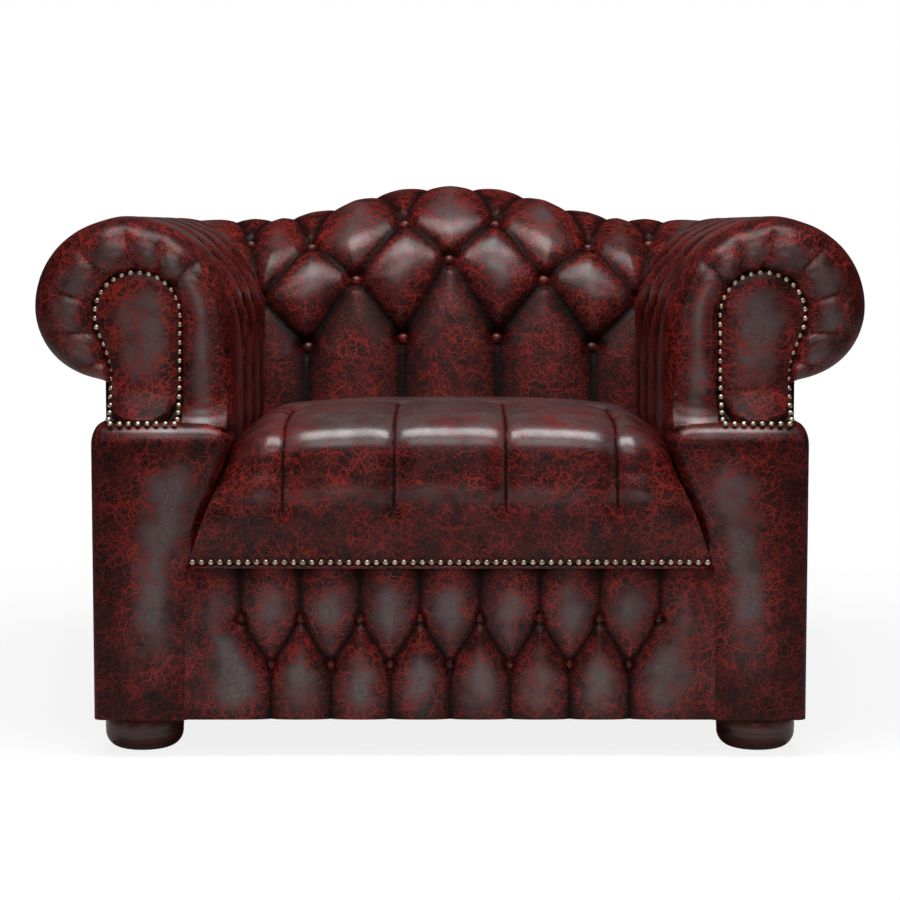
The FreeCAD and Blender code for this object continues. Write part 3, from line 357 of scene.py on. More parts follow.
class Finish:
    """A material under construction."""

    def __init__(self, name):
        self.material = bpy.data.materials.new(name)
        self.material.use_nodes = True
        self.tree = self.material.node_tree
        self.tree.nodes.clear()
        self.shader = self.tree.nodes.new("ShaderNodeBsdfPrincipled")
        result = self.tree.nodes.new("ShaderNodeOutputMaterial")
        self.tree.links.new(self.shader.outputs[0], result.inputs["Surface"])

    def node(self, kind, settings=None, inputs=None, output=0):
        made = self.tree.nodes.new(kind)
        for name, value in (settings or {}).items():
            if name == "stops":
                for number, (place, colour) in enumerate(value):
                    ramp = made.color_ramp.elements
                    stop = ramp[number] if number < len(ramp) else ramp.new(place)
                    stop.position = place
                    stop.color = (*colour, 1)
            else:
                setattr(made, name, value)
        for name, value in (inputs or {}).items():
            self.feed(made.inputs[name], value)
        return Value(self, made.outputs[output])

    def feed(self, socket, value):
        if isinstance(value, Value):
            self.tree.links.new(value.socket, socket)
        elif socket.type == "RGBA":
            socket.default_value = (*value, 1)
        else:
            socket.default_value = value

    def set(self, **values):
        for name, value in values.items():
            self.feed(self.shader.inputs[name.replace("_", " ")], value)
        return self

    def place(self, scale=(1, 1, 1), turn=(0, 0, 0)):
        where = self.node("ShaderNodeTexCoord", output="Object")
        return self.node("ShaderNodeMapping", inputs={"Vector": where, "Scale": scale, "Rotation": turn})

    def noise(self, place, scale, detail, roughness=0.5, output="Fac"):
        return self.node("ShaderNodeTexNoise", inputs={
            "Vector": place, "Scale": scale, "Detail": detail, "Roughness": roughness}, output=output)

    def mix(self, share, one, two):
        return self.node("ShaderNodeMix", {"data_type": "RGBA"}, {0: share, 6: one, 7: two}, output=2)

    def bump(self, height, distance, strength, before=None):
        inputs = {"Height": height, "Distance": distance, "Strength": strength}
        if before is not None:
            inputs["Normal"] = before
        return self.node("ShaderNodeBump", inputs=inputs)

    def warped(self, place, scale, amount):
        """Places pushed about by a cloud, so that a pattern on them runs crooked."""
        cloud = self.noise(place, scale, 2, output="Color")
        middle = (0.5, 0.5, 0.5)
        centred = self.node("ShaderNodeVectorMath", {"operation": "SUBTRACT"}, {0: cloud, 1: middle})
        pushed = self.node("ShaderNodeVectorMath", {"operation": "SCALE"}, {0: centred, "Scale": amount})
        return self.node("ShaderNodeVectorMath", {"operation": "ADD"}, {0: place, 1: pushed})

    def cracks(self, place, scale, width):
        """Thin lines between the cells of a broken pattern, 1 on the line."""
        edge = self.node("ShaderNodeTexVoronoi", {"feature": "DISTANCE_TO_EDGE"},
                         {"Vector": place, "Scale": scale}, output="Distance")
        return edge.between(width, 0)


def make_leather(settings):
    """Antiqued hide: greyish crowns, a painted highlight over a little polish, a tangle of red veins round
    them, and creases and low places darkened with painted shade.
    """
    leather = Finish("leather")
    place = leather.place()
    # The crown attribute gives how open each place of leather lies. Each piece shapes it into a map of
    # painted highlight (high) and painted shade (low), and it also sets the gloss.
    laid = leather.node("ShaderNodeAttribute", {"attribute_name": "crown"}, output="Fac")
    crown = laid - leather.noise(place, 30, 4).between(0.35, 0.7) * laid * 0.35
    veins = leather.cracks(leather.warped(leather.warped(place, 14, 0.05), 70, 0.014), 48, 0.06)
    fine = leather.cracks(leather.warped(leather.warped(place, 60, 0.02), 150, 0.006), 105, 0.1)
    hair = leather.cracks(leather.warped(place, 120, 0.012), 230, 0.14)
    patch = leather.noise(place, 6, 3).between(0.36, 0.64)
    small_patch = leather.noise(place, 24, 3).between(0.38, 0.62)
    # Red crackle shows away from the painted highlight and in random patches of wear.
    worn = ((1 - crown) * 1.1 + patch * 0.45).between(0.15, 0.85)
    tangle = veins * (0.35 + small_patch * 0.65) + fine * (0.3 + small_patch * 0.6) + hair * 0.35
    network = tangle.between(0.05, 1.05)
    mottled = leather.noise(place, 48, 4, 0.6).between(0.36, 0.64)
    # Painted shade: where the crown map is low, the body colour and the veins are darkened.
    shade = laid.between(0.04, 0.28)
    base = leather.mix(mottled * (0.3 + shade * 0.7), settings.deep_colour, settings.body_colour)
    # Painted highlight: a greyish colour on the crowns stands in for the sheen of the lights, with a little
    # polish.
    polished = leather.mix(crown.between(0.3, 0.95), base, settings.painted_highlight_colour)
    red = leather.mix(worn * network * (0.35 + shade * 0.65), polished, settings.vein_colour)
    scored = leather.mix((1 - worn) * network * 0.5, red, settings.deep_colour)
    # Painted shade: creases and pleats go near black.
    shaded_in_creases = leather.mix(laid.between(0.075, 0.005) * 0.95, scored, (0.003, 0.001, 0.001))
    grain = leather.node("ShaderNodeTexVoronoi", {"feature": "F1"}, {"Vector": place, "Scale": 900},
                         output="Distance")
    rough = settings.roughness + network * 0.1 + mottled * 0.05 + (1 - crown) * 0.2
    first = leather.bump(1 - network, 0.0008, 0.5)
    second = leather.bump(leather.noise(place, 130, 4), 0.0009, 0.35, first)
    leather.set(Base_Color=shaded_in_creases, Roughness=rough, Coat_Weight=crown * 0.9,
                Normal=leather.bump(grain, 0.00025, 0.3, second))
    leather.shader.inputs["Specular IOR Level"].default_value = 0.05
    leather.shader.inputs["Coat Roughness"].default_value = 0.27
    return leather.material


def make_brass():
    """Dark antiqued brass, worn bright on the crowns."""
    brass = Finish("antique_brass")
    place = brass.place()
    worn = brass.noise(place, 260, 3).between(0.4, 0.65)
    colour = brass.mix(worn, (0.22, 0.185, 0.135), (0.46, 0.41, 0.32))
    brass.set(Base_Color=colour, Metallic=1.0, Roughness=0.3 + worn * 0.12)
    return brass.material


def make_mahogany():
    """Turned mahogany, stained dark and polished, its grain running level round the bun."""
    wood = Finish("mahogany")
    place = wood.place(scale=(1, 1, 9))
    crooked = wood.warped(place, 5, 0.3)
    figure = wood.noise(crooked, 14, 5, 0.6)
    pores = wood.noise(wood.place(scale=(12, 12, 160)), 16, 3).between(0.62, 0.75)
    stops = [(0.3, (0.012, 0.003, 0.002)), (0.55, (0.045, 0.008, 0.004)), (0.75, (0.1, 0.018, 0.008))]
    colour = wood.node("ShaderNodeValToRGB", {"stops": stops}, {0: figure})
    wood.set(Base_Color=wood.mix(pores * 0.6, colour, (0.01, 0.003, 0.002)), Roughness=0.32 + figure * 0.12)
    wood.shader.inputs["Specular IOR Level"].default_value = 0.25
    wood.shader.inputs["Coat Weight"].default_value = 0.2
    wood.shader.inputs["Coat Roughness"].default_value = 0.2
    return wood.material


def make_frame_wood():
    """Plain sawn frame timber."""
    wood = Finish("beech")
    place = wood.place(scale=(2, 2, 2))
    figure = wood.noise(wood.warped(place, 6, 0.2), 18, 5, 0.6)
    colour = wood.mix(figure.between(0.3, 0.7), (0.56, 0.4, 0.25), (0.74, 0.57, 0.39))
    wood.set(Base_Color=colour, Roughness=0.6 + figure * 0.1, Normal=wood.bump(figure, 0.0005, 0.3))
    return wood.material


def make_cloth(name, dark, light, pitch):
    """A plain woven cloth of crossing threads."""
    cloth = Finish(name)
    place = cloth.place()
    bands = {"wave_type": "BANDS", "bands_direction": "DIAGONAL"}
    warp = cloth.node("ShaderNodeTexWave", bands, {"Vector": place, "Scale": pitch}, output="Fac")
    turned = cloth.place(turn=(0, 0, math.pi / 2))
    weft = cloth.node("ShaderNodeTexWave", bands, {"Vector": turned, "Scale": pitch}, output="Fac")
    thread = warp * 0.5 + weft * 0.5
    colour = cloth.mix(thread * 0.8 + cloth.noise(place, 60, 3) * 0.3, dark, light)
    cloth.set(Base_Color=colour, Roughness=0.9, Normal=cloth.bump(thread, 0.0004, 0.5))
    return cloth.material


def make_padding():
    """Pale foam with fine cells."""
    foam = Finish("padding")
    place = foam.place()
    cells = foam.noise(place, 300, 4)
    foam.set(Base_Color=foam.mix(cells, (0.72, 0.66, 0.5), (0.88, 0.84, 0.72)), Roughness=0.95,
             Normal=foam.bump(cells, 0.0008, 0.4))
    return foam.material


def make_steel():
    """Plain steel wire, drawn along its length."""
    steel = Finish("spring_steel")
    marks = steel.noise(steel.place(scale=(1, 8, 1)), 60, 3)
    steel.set(Base_Color=steel.mix(marks, (0.3, 0.3, 0.31), (0.52, 0.52, 0.53)), Metallic=1.0,
              Roughness=0.32 + marks * 0.15)
    return steel.material


# Settings
def length(name, description, default):
    return bpy.props.FloatProperty(name=name, description=description, default=default, unit="LENGTH",
                                   precision=4)


def colour(name, description, default):
    return bpy.props.FloatVectorProperty(name=name, description=description, default=default, size=3, min=0,
                                         max=1, subtype="COLOR")


class ChairForm(bpy.types.PropertyGroup):
    """Sizes of the soft forms"""
    fullness: length("Fullness", "How far the pillows stand proud of the frame's line", 0.003)
    pleat: length("Pleat depth", "How deep a pleat is at its button", 0.018)
    pit: length("Button depth", "How far a button is pulled below its pleats", 0.011)
    button: length("Button radius", "Radius of a covered button", 0.009)
    nail: length("Nail radius", "Radius of a nail head", 0.0041)
    welt: length("Welt radius", "Radius of the piping", 0.003)


class LeatherLook(bpy.types.PropertyGroup):
    """Colours of the antiqued hide"""
    deep_colour: colour("Deep", "Colour in the hide's darkest places", (0.005, 0.0012, 0.001))
    body_colour: colour("Body", "Colour of the open hide", (0.034, 0.0035, 0.003))
    # Painted highlight: the greyish colour laid on the crowns in place of their sheen, with a little polish.
    painted_highlight_colour: colour("Crown", "Colour where the hide is polished", (0.06, 0.034, 0.035))
    vein_colour: colour("Vein", "Colour of the crackle", (0.135, 0.009, 0.006))
    roughness: bpy.props.FloatProperty(name="Roughness", description="Roughness of the hide", default=0.28,
                                       min=0, max=1, subtype="FACTOR")


class StageLook(bpy.types.PropertyGroup):
    """Camera and lights"""
    distance: length("Camera distance", "From the camera to the middle of the chair", 3.745)
    height: length("Camera height", "Height of the camera above the floor", 0.715)
    lens: bpy.props.FloatProperty(name="Lens", description="Focal length", default=98.9, unit="CAMERA")
    key: bpy.props.FloatProperty(name="Key light", description="Strength of the high front light", default=34,
                                 unit="POWER")
    top: bpy.props.FloatProperty(name="Top light", description="Strength of the light above", default=80,
                                 unit="POWER")
    front: bpy.props.FloatProperty(name="Front light", description="Strength of the low front and side "
                                   "lights", default=6, unit="POWER")
    fill: bpy.props.FloatProperty(name="Fill", description="Strength of the light all round", default=0.07)


# Operators
class ChairOperator:
    """What every step has"""
    bl_options = {"REGISTER", "UNDO"}


class CHAIR_OT_materials(ChairOperator, bpy.types.Operator):
    """Make the finishes and give the frame's own nodes theirs"""
    bl_idname = "chair.materials"
    bl_label = "Finishes"

    def execute(self, context):
        for plain in list(bpy.data.materials):
            bpy.data.materials.remove(plain)
        make_leather(context.scene.chair_leather)
        make_brass()
        make_mahogany()
        make_frame_wood()
        make_padding()
        make_steel()
        make_cloth("hessian", (0.012, 0.011, 0.01), (0.045, 0.042, 0.038), 320)
        make_cloth("jute", (0.3, 0.22, 0.12), (0.55, 0.43, 0.27), 180)
        for part in frame["record"]["subparts"]:
            node = nodes[part["node"]]
            node.data.materials.clear()
            node.data.materials.append(bpy.data.materials[part["material_slot"]])
        return {"FINISHED"}


class CHAIR_OT_back(ChairOperator, bpy.types.Operator):
    """Model the buttoned inside back with its raised crest"""
    bl_idname = "chair.back"
    bl_label = "Inside back"

    def execute(self, context):
        form = context.scene.chair_form
        half = 0.449
        across = np.linspace(-half, half, 300)
        lines = [evenly(back_line(x), 290) for x in across]
        points = np.array([[(x, y, z) for y, z in line] for x, line in zip(across, lines)])
        points = points.transpose(1, 0, 2)
        run = np.array([along(line) for line in lines]).T
        flat = np.broadcast_to(across, run.shape)

        def height(x, z):
            column = int(np.argmin(abs(across - x)))
            inner = points[:, column, 2]
            top = int(inner.argmax())
            return float(np.interp(z, inner[:top], run[:top, column]))

        def crest(x, beyond=0.0):
            column = int(np.argmin(abs(across - x)))
            return float(run[int(points[:, column, 2].argmax()), column]) + beyond

        between = [(k + 0.5) * BUTTON_PITCH for k in range(-2, 2)]
        under = [k * BUTTON_PITCH for k in range(-2, 3)]
        low = [(x, 0.551 - 0.095 * abs(x)) for x in between]
        middle = [(x, 0.669 - 0.215 * abs(x)) for x in under]
        high = [(x, 0.749 - 0.25 * abs(x)) for x in between]
        high = [(-0.321, 0.7)] + high + [(0.321, 0.7)]
        rows = [[(x, height(x, z)) for x, z in row] for row in (low, middle, high)]
        deep, mid, shallow, flat_end = form.pleat, form.pleat * 0.9, 0.01, 0.001
        pleats = []
        for one, two in ((rows[0], rows[1]), (rows[1], rows[2])):
            for start in one:
                pleats += [(*start, *end, deep, mid) for end in two if abs(end[0] - start[0]) < 0.11]
        for x, t in rows[0]:
            pleats.append((x, t, x, height(x, 0.42), deep, 0.005))
        fans = ((-0.35, -0.29), (-0.258, -0.1875), (-0.123, -0.036), (0.036, 0.123), (0.1875, 0.258),
                (0.29, 0.35))
        for (x, t), valleys in zip(rows[2], fans):
            for valley in valleys:
                pleats.append((x, t, valley, crest(valley), deep, shallow))
                pleats.append((valley, crest(valley), valley, crest(valley, 0.25), shallow, flat_end))
        buttons = [place for row in rows for place in row]
        drawn, tone = quilted(flat, run, buttons, pleats, pillow=0.06, pit=form.pit, reach=0.024)
        # Painted shade: the lower back is made darker.
        tone = tone * (0.3 + 0.7 * smoothstep(0.54, 0.68, points[..., 2]))
        inside = smoothstep(0.43, 0.34, abs(flat))
        lift = soften((form.fullness - drawn) * inside, 1) - 0.002 * (1 - inside)
        back = leather_sheet("inside_back_cover", points, lift, tone)
        finish_piece(back, ["inside_back", "back_pad"])
        look = outward(points)
        shaped = points + look * lift[..., None]
        places = []
        for x, t in buttons:
            column = int(np.argmin(abs(across - x)))
            row = int(np.argmin(abs(run[:, column] - t)))
            places.append((shaped[row, column] + look[row, column] * 0.004, (0, -1, 0.2)))
        heads = place_domes("back_button_heads", places, form.button, BUTTON_HEIGHT, "leather")
        finish_piece(heads, ["back_buttons"])
        return {"FINISHED"}


def arm_end(line):
    """Where the leather of each part of the arm's section is gathered under the facing's edge."""
    run = along(line)
    ends = np.empty_like(line)
    angle = np.degrees(np.arctan2(line[:, 1] - ARM_LEVEL, line[:, 0] - ARM_AXIS))
    top = int(line[:, 1].argmax())
    tuck = 0.005
    radius = HEAD[2] - tuck
    stretch = (HEAD[1] - LEDGE) / (ARM_LEVEL - LEDGE)
    for k in range(top + 1):
        if line[k, 1] < ARM_LEVEL:
            ends[k] = (HEAD[0] - radius, LEDGE + (line[k, 1] - LEDGE) * stretch)
        else:
            ends[k] = arc(HEAD, radius, angle[k], angle[k], 1)[0]
    tip = int(line[:, 0].argmax())
    for k in range(top + 1, tip + 1):
        turn = 90 * (1 - (run[k] - run[top]) / (run[tip] - run[top]))
        ends[k] = arc(HEAD, radius, turn, turn, 1)[0]
    last = np.vstack([arc(HEAD, radius, 0, -30, 12), [(0.4585, 0.53), (0.459, 0.505)]])
    ends[tip:] = evenly(last, len(line) - tip)
    return ends


def cove(z):
    """How far forward the arm's front stands at a height above the ledge."""
    drop = np.clip(COVE[1] - z, 0, COVE[1] - LEDGE)
    return COVE[0] + np.sqrt(COVE[2] ** 2 - drop ** 2)


class CHAIR_OT_arms(ChairOperator, bpy.types.Operator):
    """Model the buttoned arms, their rolls, pleated roll ends and turned back corners"""
    bl_idname = "chair.arms"
    bl_label = "Arms"

    def execute(self, context):
        form = context.scene.chair_form
        line = evenly(arm_line(), 222)
        run = along(line)
        ends = arm_end(line)
        end_curve = evenly(rounded([(0, 0.006), (0.02, -0.008), (0.2, -0.022), (0.58, -0.021), (0.88, -0.004),
                                    (1.0, 0.02), (1.0, 0.042)]), 40)
        end_count = len(end_curve)
        straight = np.linspace(ARM_FRONT + 0.046, BACK_AXIS, 172)
        turns = np.radians(np.linspace(0, 90, 42)[1:])
        columns = []
        for share, back in end_curve:
            spot = ends + (line - ends) * share
            below = np.interp(spot[:, 1], (0.425, LEDGE), (ARM_FRONT, -0.4329))
            front = np.where(spot[:, 1] < LEDGE, below, cove(spot[:, 1]))
            eased = back if back > 0 else back * smoothstep(0.445, 0.53, spot[:, 1])
            columns.append(np.c_[spot[:, 0], front + eased, spot[:, 1]])
        last = columns[-1][:, 1]
        for y in straight:
            gone = (y - straight[0]) / (straight[-1] - straight[0])
            columns.append(np.c_[line[:, 0], np.maximum(y, last + 0.0001 + 0.04 * gone), line[:, 1]])
        reach = line[:, 0] - ARM_AXIS
        for turn in turns:
            outer = reach > 0
            x = np.where(outer, ARM_AXIS + reach * math.cos(turn), line[:, 0])
            y = BACK_AXIS + np.where(outer, reach * math.sin(turn), 0.02 * turn)
            columns.append(np.c_[x, y, line[:, 1] - np.where(outer, 0, 0.004 * turn)])
        points = np.array(columns).transpose(1, 0, 2)
        flat = points[..., 1].copy()
        ahead = np.broadcast_to(run[:, None], flat.shape)
        up = int(line[:, 1].argmax())

        def height(z):
            return float(np.interp(z, line[:up, 1], run[:up]))

        first = ARM_FRONT + 0.0825
        between = [first + (k + 0.5) * BUTTON_PITCH for k in range(3)]
        rows = [[(y, height(0.545)) for y in between],
                [(first + k * BUTTON_PITCH, height(0.6245)) for k in range(4)],
                [(y, height(0.692)) for y in between] + [(0.205, height(0.683))]]
        deep, mid = form.pleat, form.pleat * 0.9
        pleats = []
        for one, two in ((rows[0], rows[1]), (rows[1], rows[2])):
            for start in one:
                pleats += [(*start, *end, deep, mid) for end in two if abs(end[0] - start[0]) < 0.11]
        for y, t in rows[0]:
            pleats.append((y, t, y, height(0.43), deep, 0.005))
        for y, t in rows[2]:
            pleats.append((y, t, y, float(run[up]) + 0.05, deep, 0.0))
        pleats.append((*rows[1][0], ARM_FRONT + 0.02, height(0.675), deep, 0.003))
        corner = rows[2][-1]
        pleats += [(*corner, 0.3, float(run[up]) + 0.12, deep, 0.006),
                   (*corner, 0.27, height(0.6), deep, 0.008),
                   (*corner, 0.215, height(0.56), deep, 0.006)]
        buttons = [place for row in rows for place in row]
        drawn, tone = quilted(flat, ahead, buttons, pleats, pillow=0.055, pit=form.pit, reach=0.024)
        body = smoothstep(ARM_FRONT + 0.02, ARM_FRONT + 0.06, flat)
        drawn = drawn * body
        angle = np.degrees(np.arctan2(line[:, 1] - HEAD[1], line[:, 0] - HEAD[0]))
        share = np.r_[end_curve[:, 0], np.ones(len(columns) - end_count)]
        fade = smoothstep(1.02, 0.55, share) * smoothstep(-0.06, 0.12, share)
        fade[end_count:] = 0
        spread, puff, gather_depth = 0.085, 0.024, 0.008
        gathers = np.zeros(len(line))
        for crease in (138, 110, 80, 48, 17, -10, -38):
            away = np.radians(abs(angle - crease)) * spread
            near = 1 - np.clip(away / puff, 0, 1)
            gathers = np.maximum(gathers, 1 - np.sqrt(1 - near ** 2))
        gathered = gathers[:, None] * fade[None, :] * gather_depth
        proud = form.fullness * body * (1 - smoothstep(run[up], run[up] + 0.05, run))[:, None]
        lift = soften(proud - drawn - gathered, 1)
        # Painted highlight on a ring round each facing, with painted shade in the gathers and where the arm
        # is not tufted.
        end_highlight = np.exp(-((share - 0.42) / 0.2) ** 2) * (1 - gathers[:, None])
        end_tone = 0.2 + 0.7 * end_highlight
        tone = np.where(share[None, :] < 0.995, end_tone, 0.85 * (tone * body + 0.3 * (1 - body)))
        look = -outward(points)
        shaped = points + look * lift[..., None]
        for side, way in (("right", 1), ("left", -1)):
            turned = points if way > 0 else mirrored(points)
            arm = leather_sheet(f"arm_cover_{side}", turned, lift, tone, flip=way > 0)
            finish_piece(arm, [f"inside_arm_{side}", f"arm_pad_{side}"])
            places = []
            for y, t in buttons:
                row = int(np.argmin(abs(run - t)))
                column = end_count + int(np.argmin(abs(straight - y)))
                face = look[row, column]
                spot = shaped[row, column] + 0.003 * face
                places.append(((way * spot[0], spot[1], spot[2]), (way * face[0], face[1], face[2])))
            heads = place_domes(f"arm_button_heads_{side}", places, form.button, BUTTON_HEIGHT, "leather")
            finish_piece(heads, [f"arm_buttons_{side}"])
        return {"FINISHED"}


class CHAIR_OT_facings(ChairOperator, bpy.types.Operator):
    """Model the padded facings of the arms and their nails"""
    bl_idname = "chair.facings"
    bl_label = "Facings"

    def execute(self, context):
        form = context.scene.chair_form
        foot = LEDGE + 0.002
        outline = np.vstack([arc(HEAD, HEAD[2], 180, -30, 60), [(0.4625, 0.53), (0.4645, foot)],
                             [(0.362, foot)], [(HEAD[0] - HEAD[2], HEAD[1])]])
        outline = evenly(rounded(outline, 2), 180)
        spine = np.c_[np.full(len(outline), 0.413), np.clip(outline[:, 1], 0.49, HEAD[1])]
        rings = 1 - np.linspace(1, 0, 26) ** 1.6
        spots = np.array([outline + (spine - outline) * share for share in rings])
        points = np.dstack([spots[..., 0], cove(spots[..., 1]) - 0.0053, spots[..., 1]])
        lift = np.broadcast_to(0.012 * np.sqrt(1 - (1 - rings) ** 3)[:, None], spots.shape[:2]).copy()
        lift[0] = -0.006
        lift[1:] -= 0.001
        # Painted highlight in the middle of the facing, darker towards its foot, and painted shade at the
        # tucked rim.
        tone = 0.22 + 0.7 * smoothstep(0.1, 0.8, rings)[:, None] * smoothstep(0.47, 0.55, spots[..., 1])
        tone[:2] = 0.05
        for side, way in (("right", 1), ("left", -1)):
            turned = points if way > 0 else mirrored(points)
            facing = leather_sheet(f"facing_panel_{side}", turned, lift, tone, flip=way > 0, weld=True)
            finish_piece(facing, [f"facing_{side}"])
            places = []
            for x, y, z in islands(f"facing_nails_{side}"):
                look = (0, -1, 0) if z > COVE[1] else (0, COVE[0] - y, COVE[1] - z)
                places.append(((x, y - 0.0015, z), look))
            nails = place_domes(f"facing_nail_heads_{side}", places, form.nail, NAIL_HEIGHT, "antique_brass",
                                segments=12, rings=4)
            finish_piece(nails, [f"facing_nails_{side}"])
        return {"FINISHED"}


def post_inner(z):
    """The post's inner edge, which leans out to meet the arm."""
    return np.interp(z, (0.05, 0.255, 0.272, 0.285, 0.365, 0.398, 0.431, 0.457),
                     (0.353, 0.353, 0.347, 0.340, 0.314, 0.304, 0.292, 0.296))


class CHAIR_OT_posts(ChairOperator, bpy.types.Operator):
    """Model the front posts with their rounded ledges"""
    bl_idname = "chair.posts"
    bl_label = "Front posts"

    def execute(self, context):
        top, rounding = 0.453, 0.03
        rise = np.linspace(BASE + 0.001, top - rounding, 94)
        turn = np.radians(np.linspace(0, 90, 18)[1:])
        heights = np.r_[rise, top - rounding + rounding * np.sin(turn), [top, top]]
        insets = np.r_[np.zeros(len(rise)), rounding * (1 - np.cos(turn)), [0.038, 0.05]]
        rows = []
        for z, inset in zip(heights, insets):
            inner, outer = post_inner(z) + 0.25 * inset, POST_OUTER - 0.45 * inset
            front, behind = FRONT + inset, -0.37
            bend, edge, hem = 0.01 + 0.022 * smoothstep(0.262, 0.31, z), 0.014, 0.006
            plan = np.vstack([[(inner, behind - 0.01)],
                              arc((inner + bend, front + bend), bend, 180, 270, 16),
                              arc((outer - edge, front + edge), edge, 270, 360, 10),
                              arc((outer - hem, behind - hem), hem, 0, 90, 6),
                              [(SIDE - 0.004, behind)]])
            plan = evenly(plan, 130)
            rows.append(np.c_[plan, np.full(len(plan), z)])
        points = np.array(rows)
        middle = (points[..., 0] - points[:, :1, 0]) / (points[:, -1:, 0] - points[:, :1, 0])
        belly = np.sin(np.pi * np.clip(middle, 0, 1)) ** 0.8
        tall = np.sin(np.pi * np.clip((points[..., 2] - BASE) / 0.4, 0, 1)) ** 0.5
        lift = 0.009 * belly * (0.2 + 0.8 * tall)
        lift[points[..., 1] > -0.41] *= 0.3
        level = points[..., 2]
        # Painted highlight down the middle of the post's front and along its ledge, with painted shade at its
        # edges and towards the floor.
        front_highlight = np.exp(-((middle - 0.44) / 0.26) ** 2) * smoothstep(0.07, 0.22, level)
        tone = 0.12 + 0.83 * np.maximum(front_highlight * (1 - smoothstep(0.37, 0.43, level)),
                                        np.exp(-((level - 0.44) / 0.008) ** 2) * 0.8 * belly)
        for side, way in (("right", 1), ("left", -1)):
            turned = points if way > 0 else mirrored(points)
            post = leather_sheet(f"post_panel_{side}", turned, lift, tone, flip=way < 0)
            finish_piece(post, [f"post_cover_{side}", f"post_pad_{side}"])
        return {"FINISHED"}


class CHAIR_OT_seat(ChairOperator, bpy.types.Operator):
    """Model the sprung seat with its sewn channels, its rolled front edge and the band under it"""
    bl_idname = "chair.seat"
    bl_label = "Seat"

    def execute(self, context):
        side = rounded([(-0.36, 0.2585), (-0.43, 0.2585), (-0.438, 0.263), (-0.444, 0.29), (-0.452, 0.325),
                        (-0.455, 0.356), (-0.452, 0.378), (-0.447, 0.394), (-0.446, 0.41), (-0.442, 0.43),
                        (-0.424, 0.45), (-0.39, 0.46), (-0.33, 0.464), (-0.25, 0.466), (-0.1, 0.463),
                        (0.03, 0.455), (0.1, 0.44), (0.13, 0.41), (0.135, 0.37)], 3)
        side = evenly(side, 230)
        run = along(side)
        across = np.linspace(-1, 1, 320)
        edge = abs(across)
        wide = np.interp(side[:, 1], (0.26, 0.272, 0.285, 0.365, 0.398, 0.431, 0.457),
                         (0.357, 0.352, 0.346, 0.32, 0.31, 0.3, 0.296))
        wide[run > run[int(side[:, 1].argmax())]] = 0.296
        x = wide[:, None] * across[None, :]
        points = np.dstack([x, np.broadcast_to(side[:, :1], x.shape), np.broadcast_to(side[:, 1:], x.shape)])
        high = smoothstep(0.3, 0.46, side[:, 1])[:, None]
        fall = high * (0.018 * edge ** 3 + 0.03 * smoothstep(0.8, 1.08, edge))[None, :]
        points[..., 2] -= fall
        points[..., 1] += 0.7 * fall * (side[:, :1] < -0.3)
        ahead = np.broadcast_to(run[:, None], x.shape)
        low = int(side[:, 0].argmin())
        seam_line = float(np.interp(-0.16, side[low:, 0], run[low:]))
        wave = np.zeros_like(x)
        channels = [(k + 0.5) * BUTTON_PITCH for k in range(-2, 2)]
        depth = 0.011
        for place in channels:
            wave = np.maximum(wave, 1 - np.clip(abs(x - place) / 0.06, 0, 1))
        behind = ahead - (seam_line - 0.05 * wave ** 1.6)
        sewn = smoothstep(0.32, 0.345, side[:, 1:]) * smoothstep(0.012, 0.0, behind)
        drawn, crease = np.zeros_like(x), np.ones_like(x)
        for place in channels:
            near = 1 - np.clip(abs(x - place) / 0.045, 0, 1)
            drawn = np.maximum(drawn, (1 - np.sqrt(1 - near ** 2)) * depth * sewn)
            # Painted shade along the sewn seam lines.
            crease = np.minimum(crease, 1 - sewn * (1 - smoothstep(0.0008, 0.0042, abs(x - place))))
        near = 1 - np.clip(abs(behind) / 0.03, 0, 1)
        drawn = np.maximum(drawn, (1 - np.sqrt(1 - near ** 2)) * depth)
        crease = np.minimum(crease, smoothstep(0.0008, 0.0042, abs(behind)))
        lift = soften(0.003 - drawn, 1)
        # Painted highlights on the two rolls of the nose, with painted shade at the sides.
        band = 0.6 * np.exp(-((side[:, 1] - 0.358) / 0.014) ** 2)
        nose_highlights = band + 0.95 * smoothstep(0.408, 0.436, side[:, 1])
        tone = (0.22 + 0.75 * nose_highlights[:, None] * (1 - edge[None, :] ** 8)) * crease
        seat = leather_sheet("seat_cushion", points, lift, tone)
        finish_piece(seat, ["seat_cover", "seat_pad"])
        return {"FINISHED"}


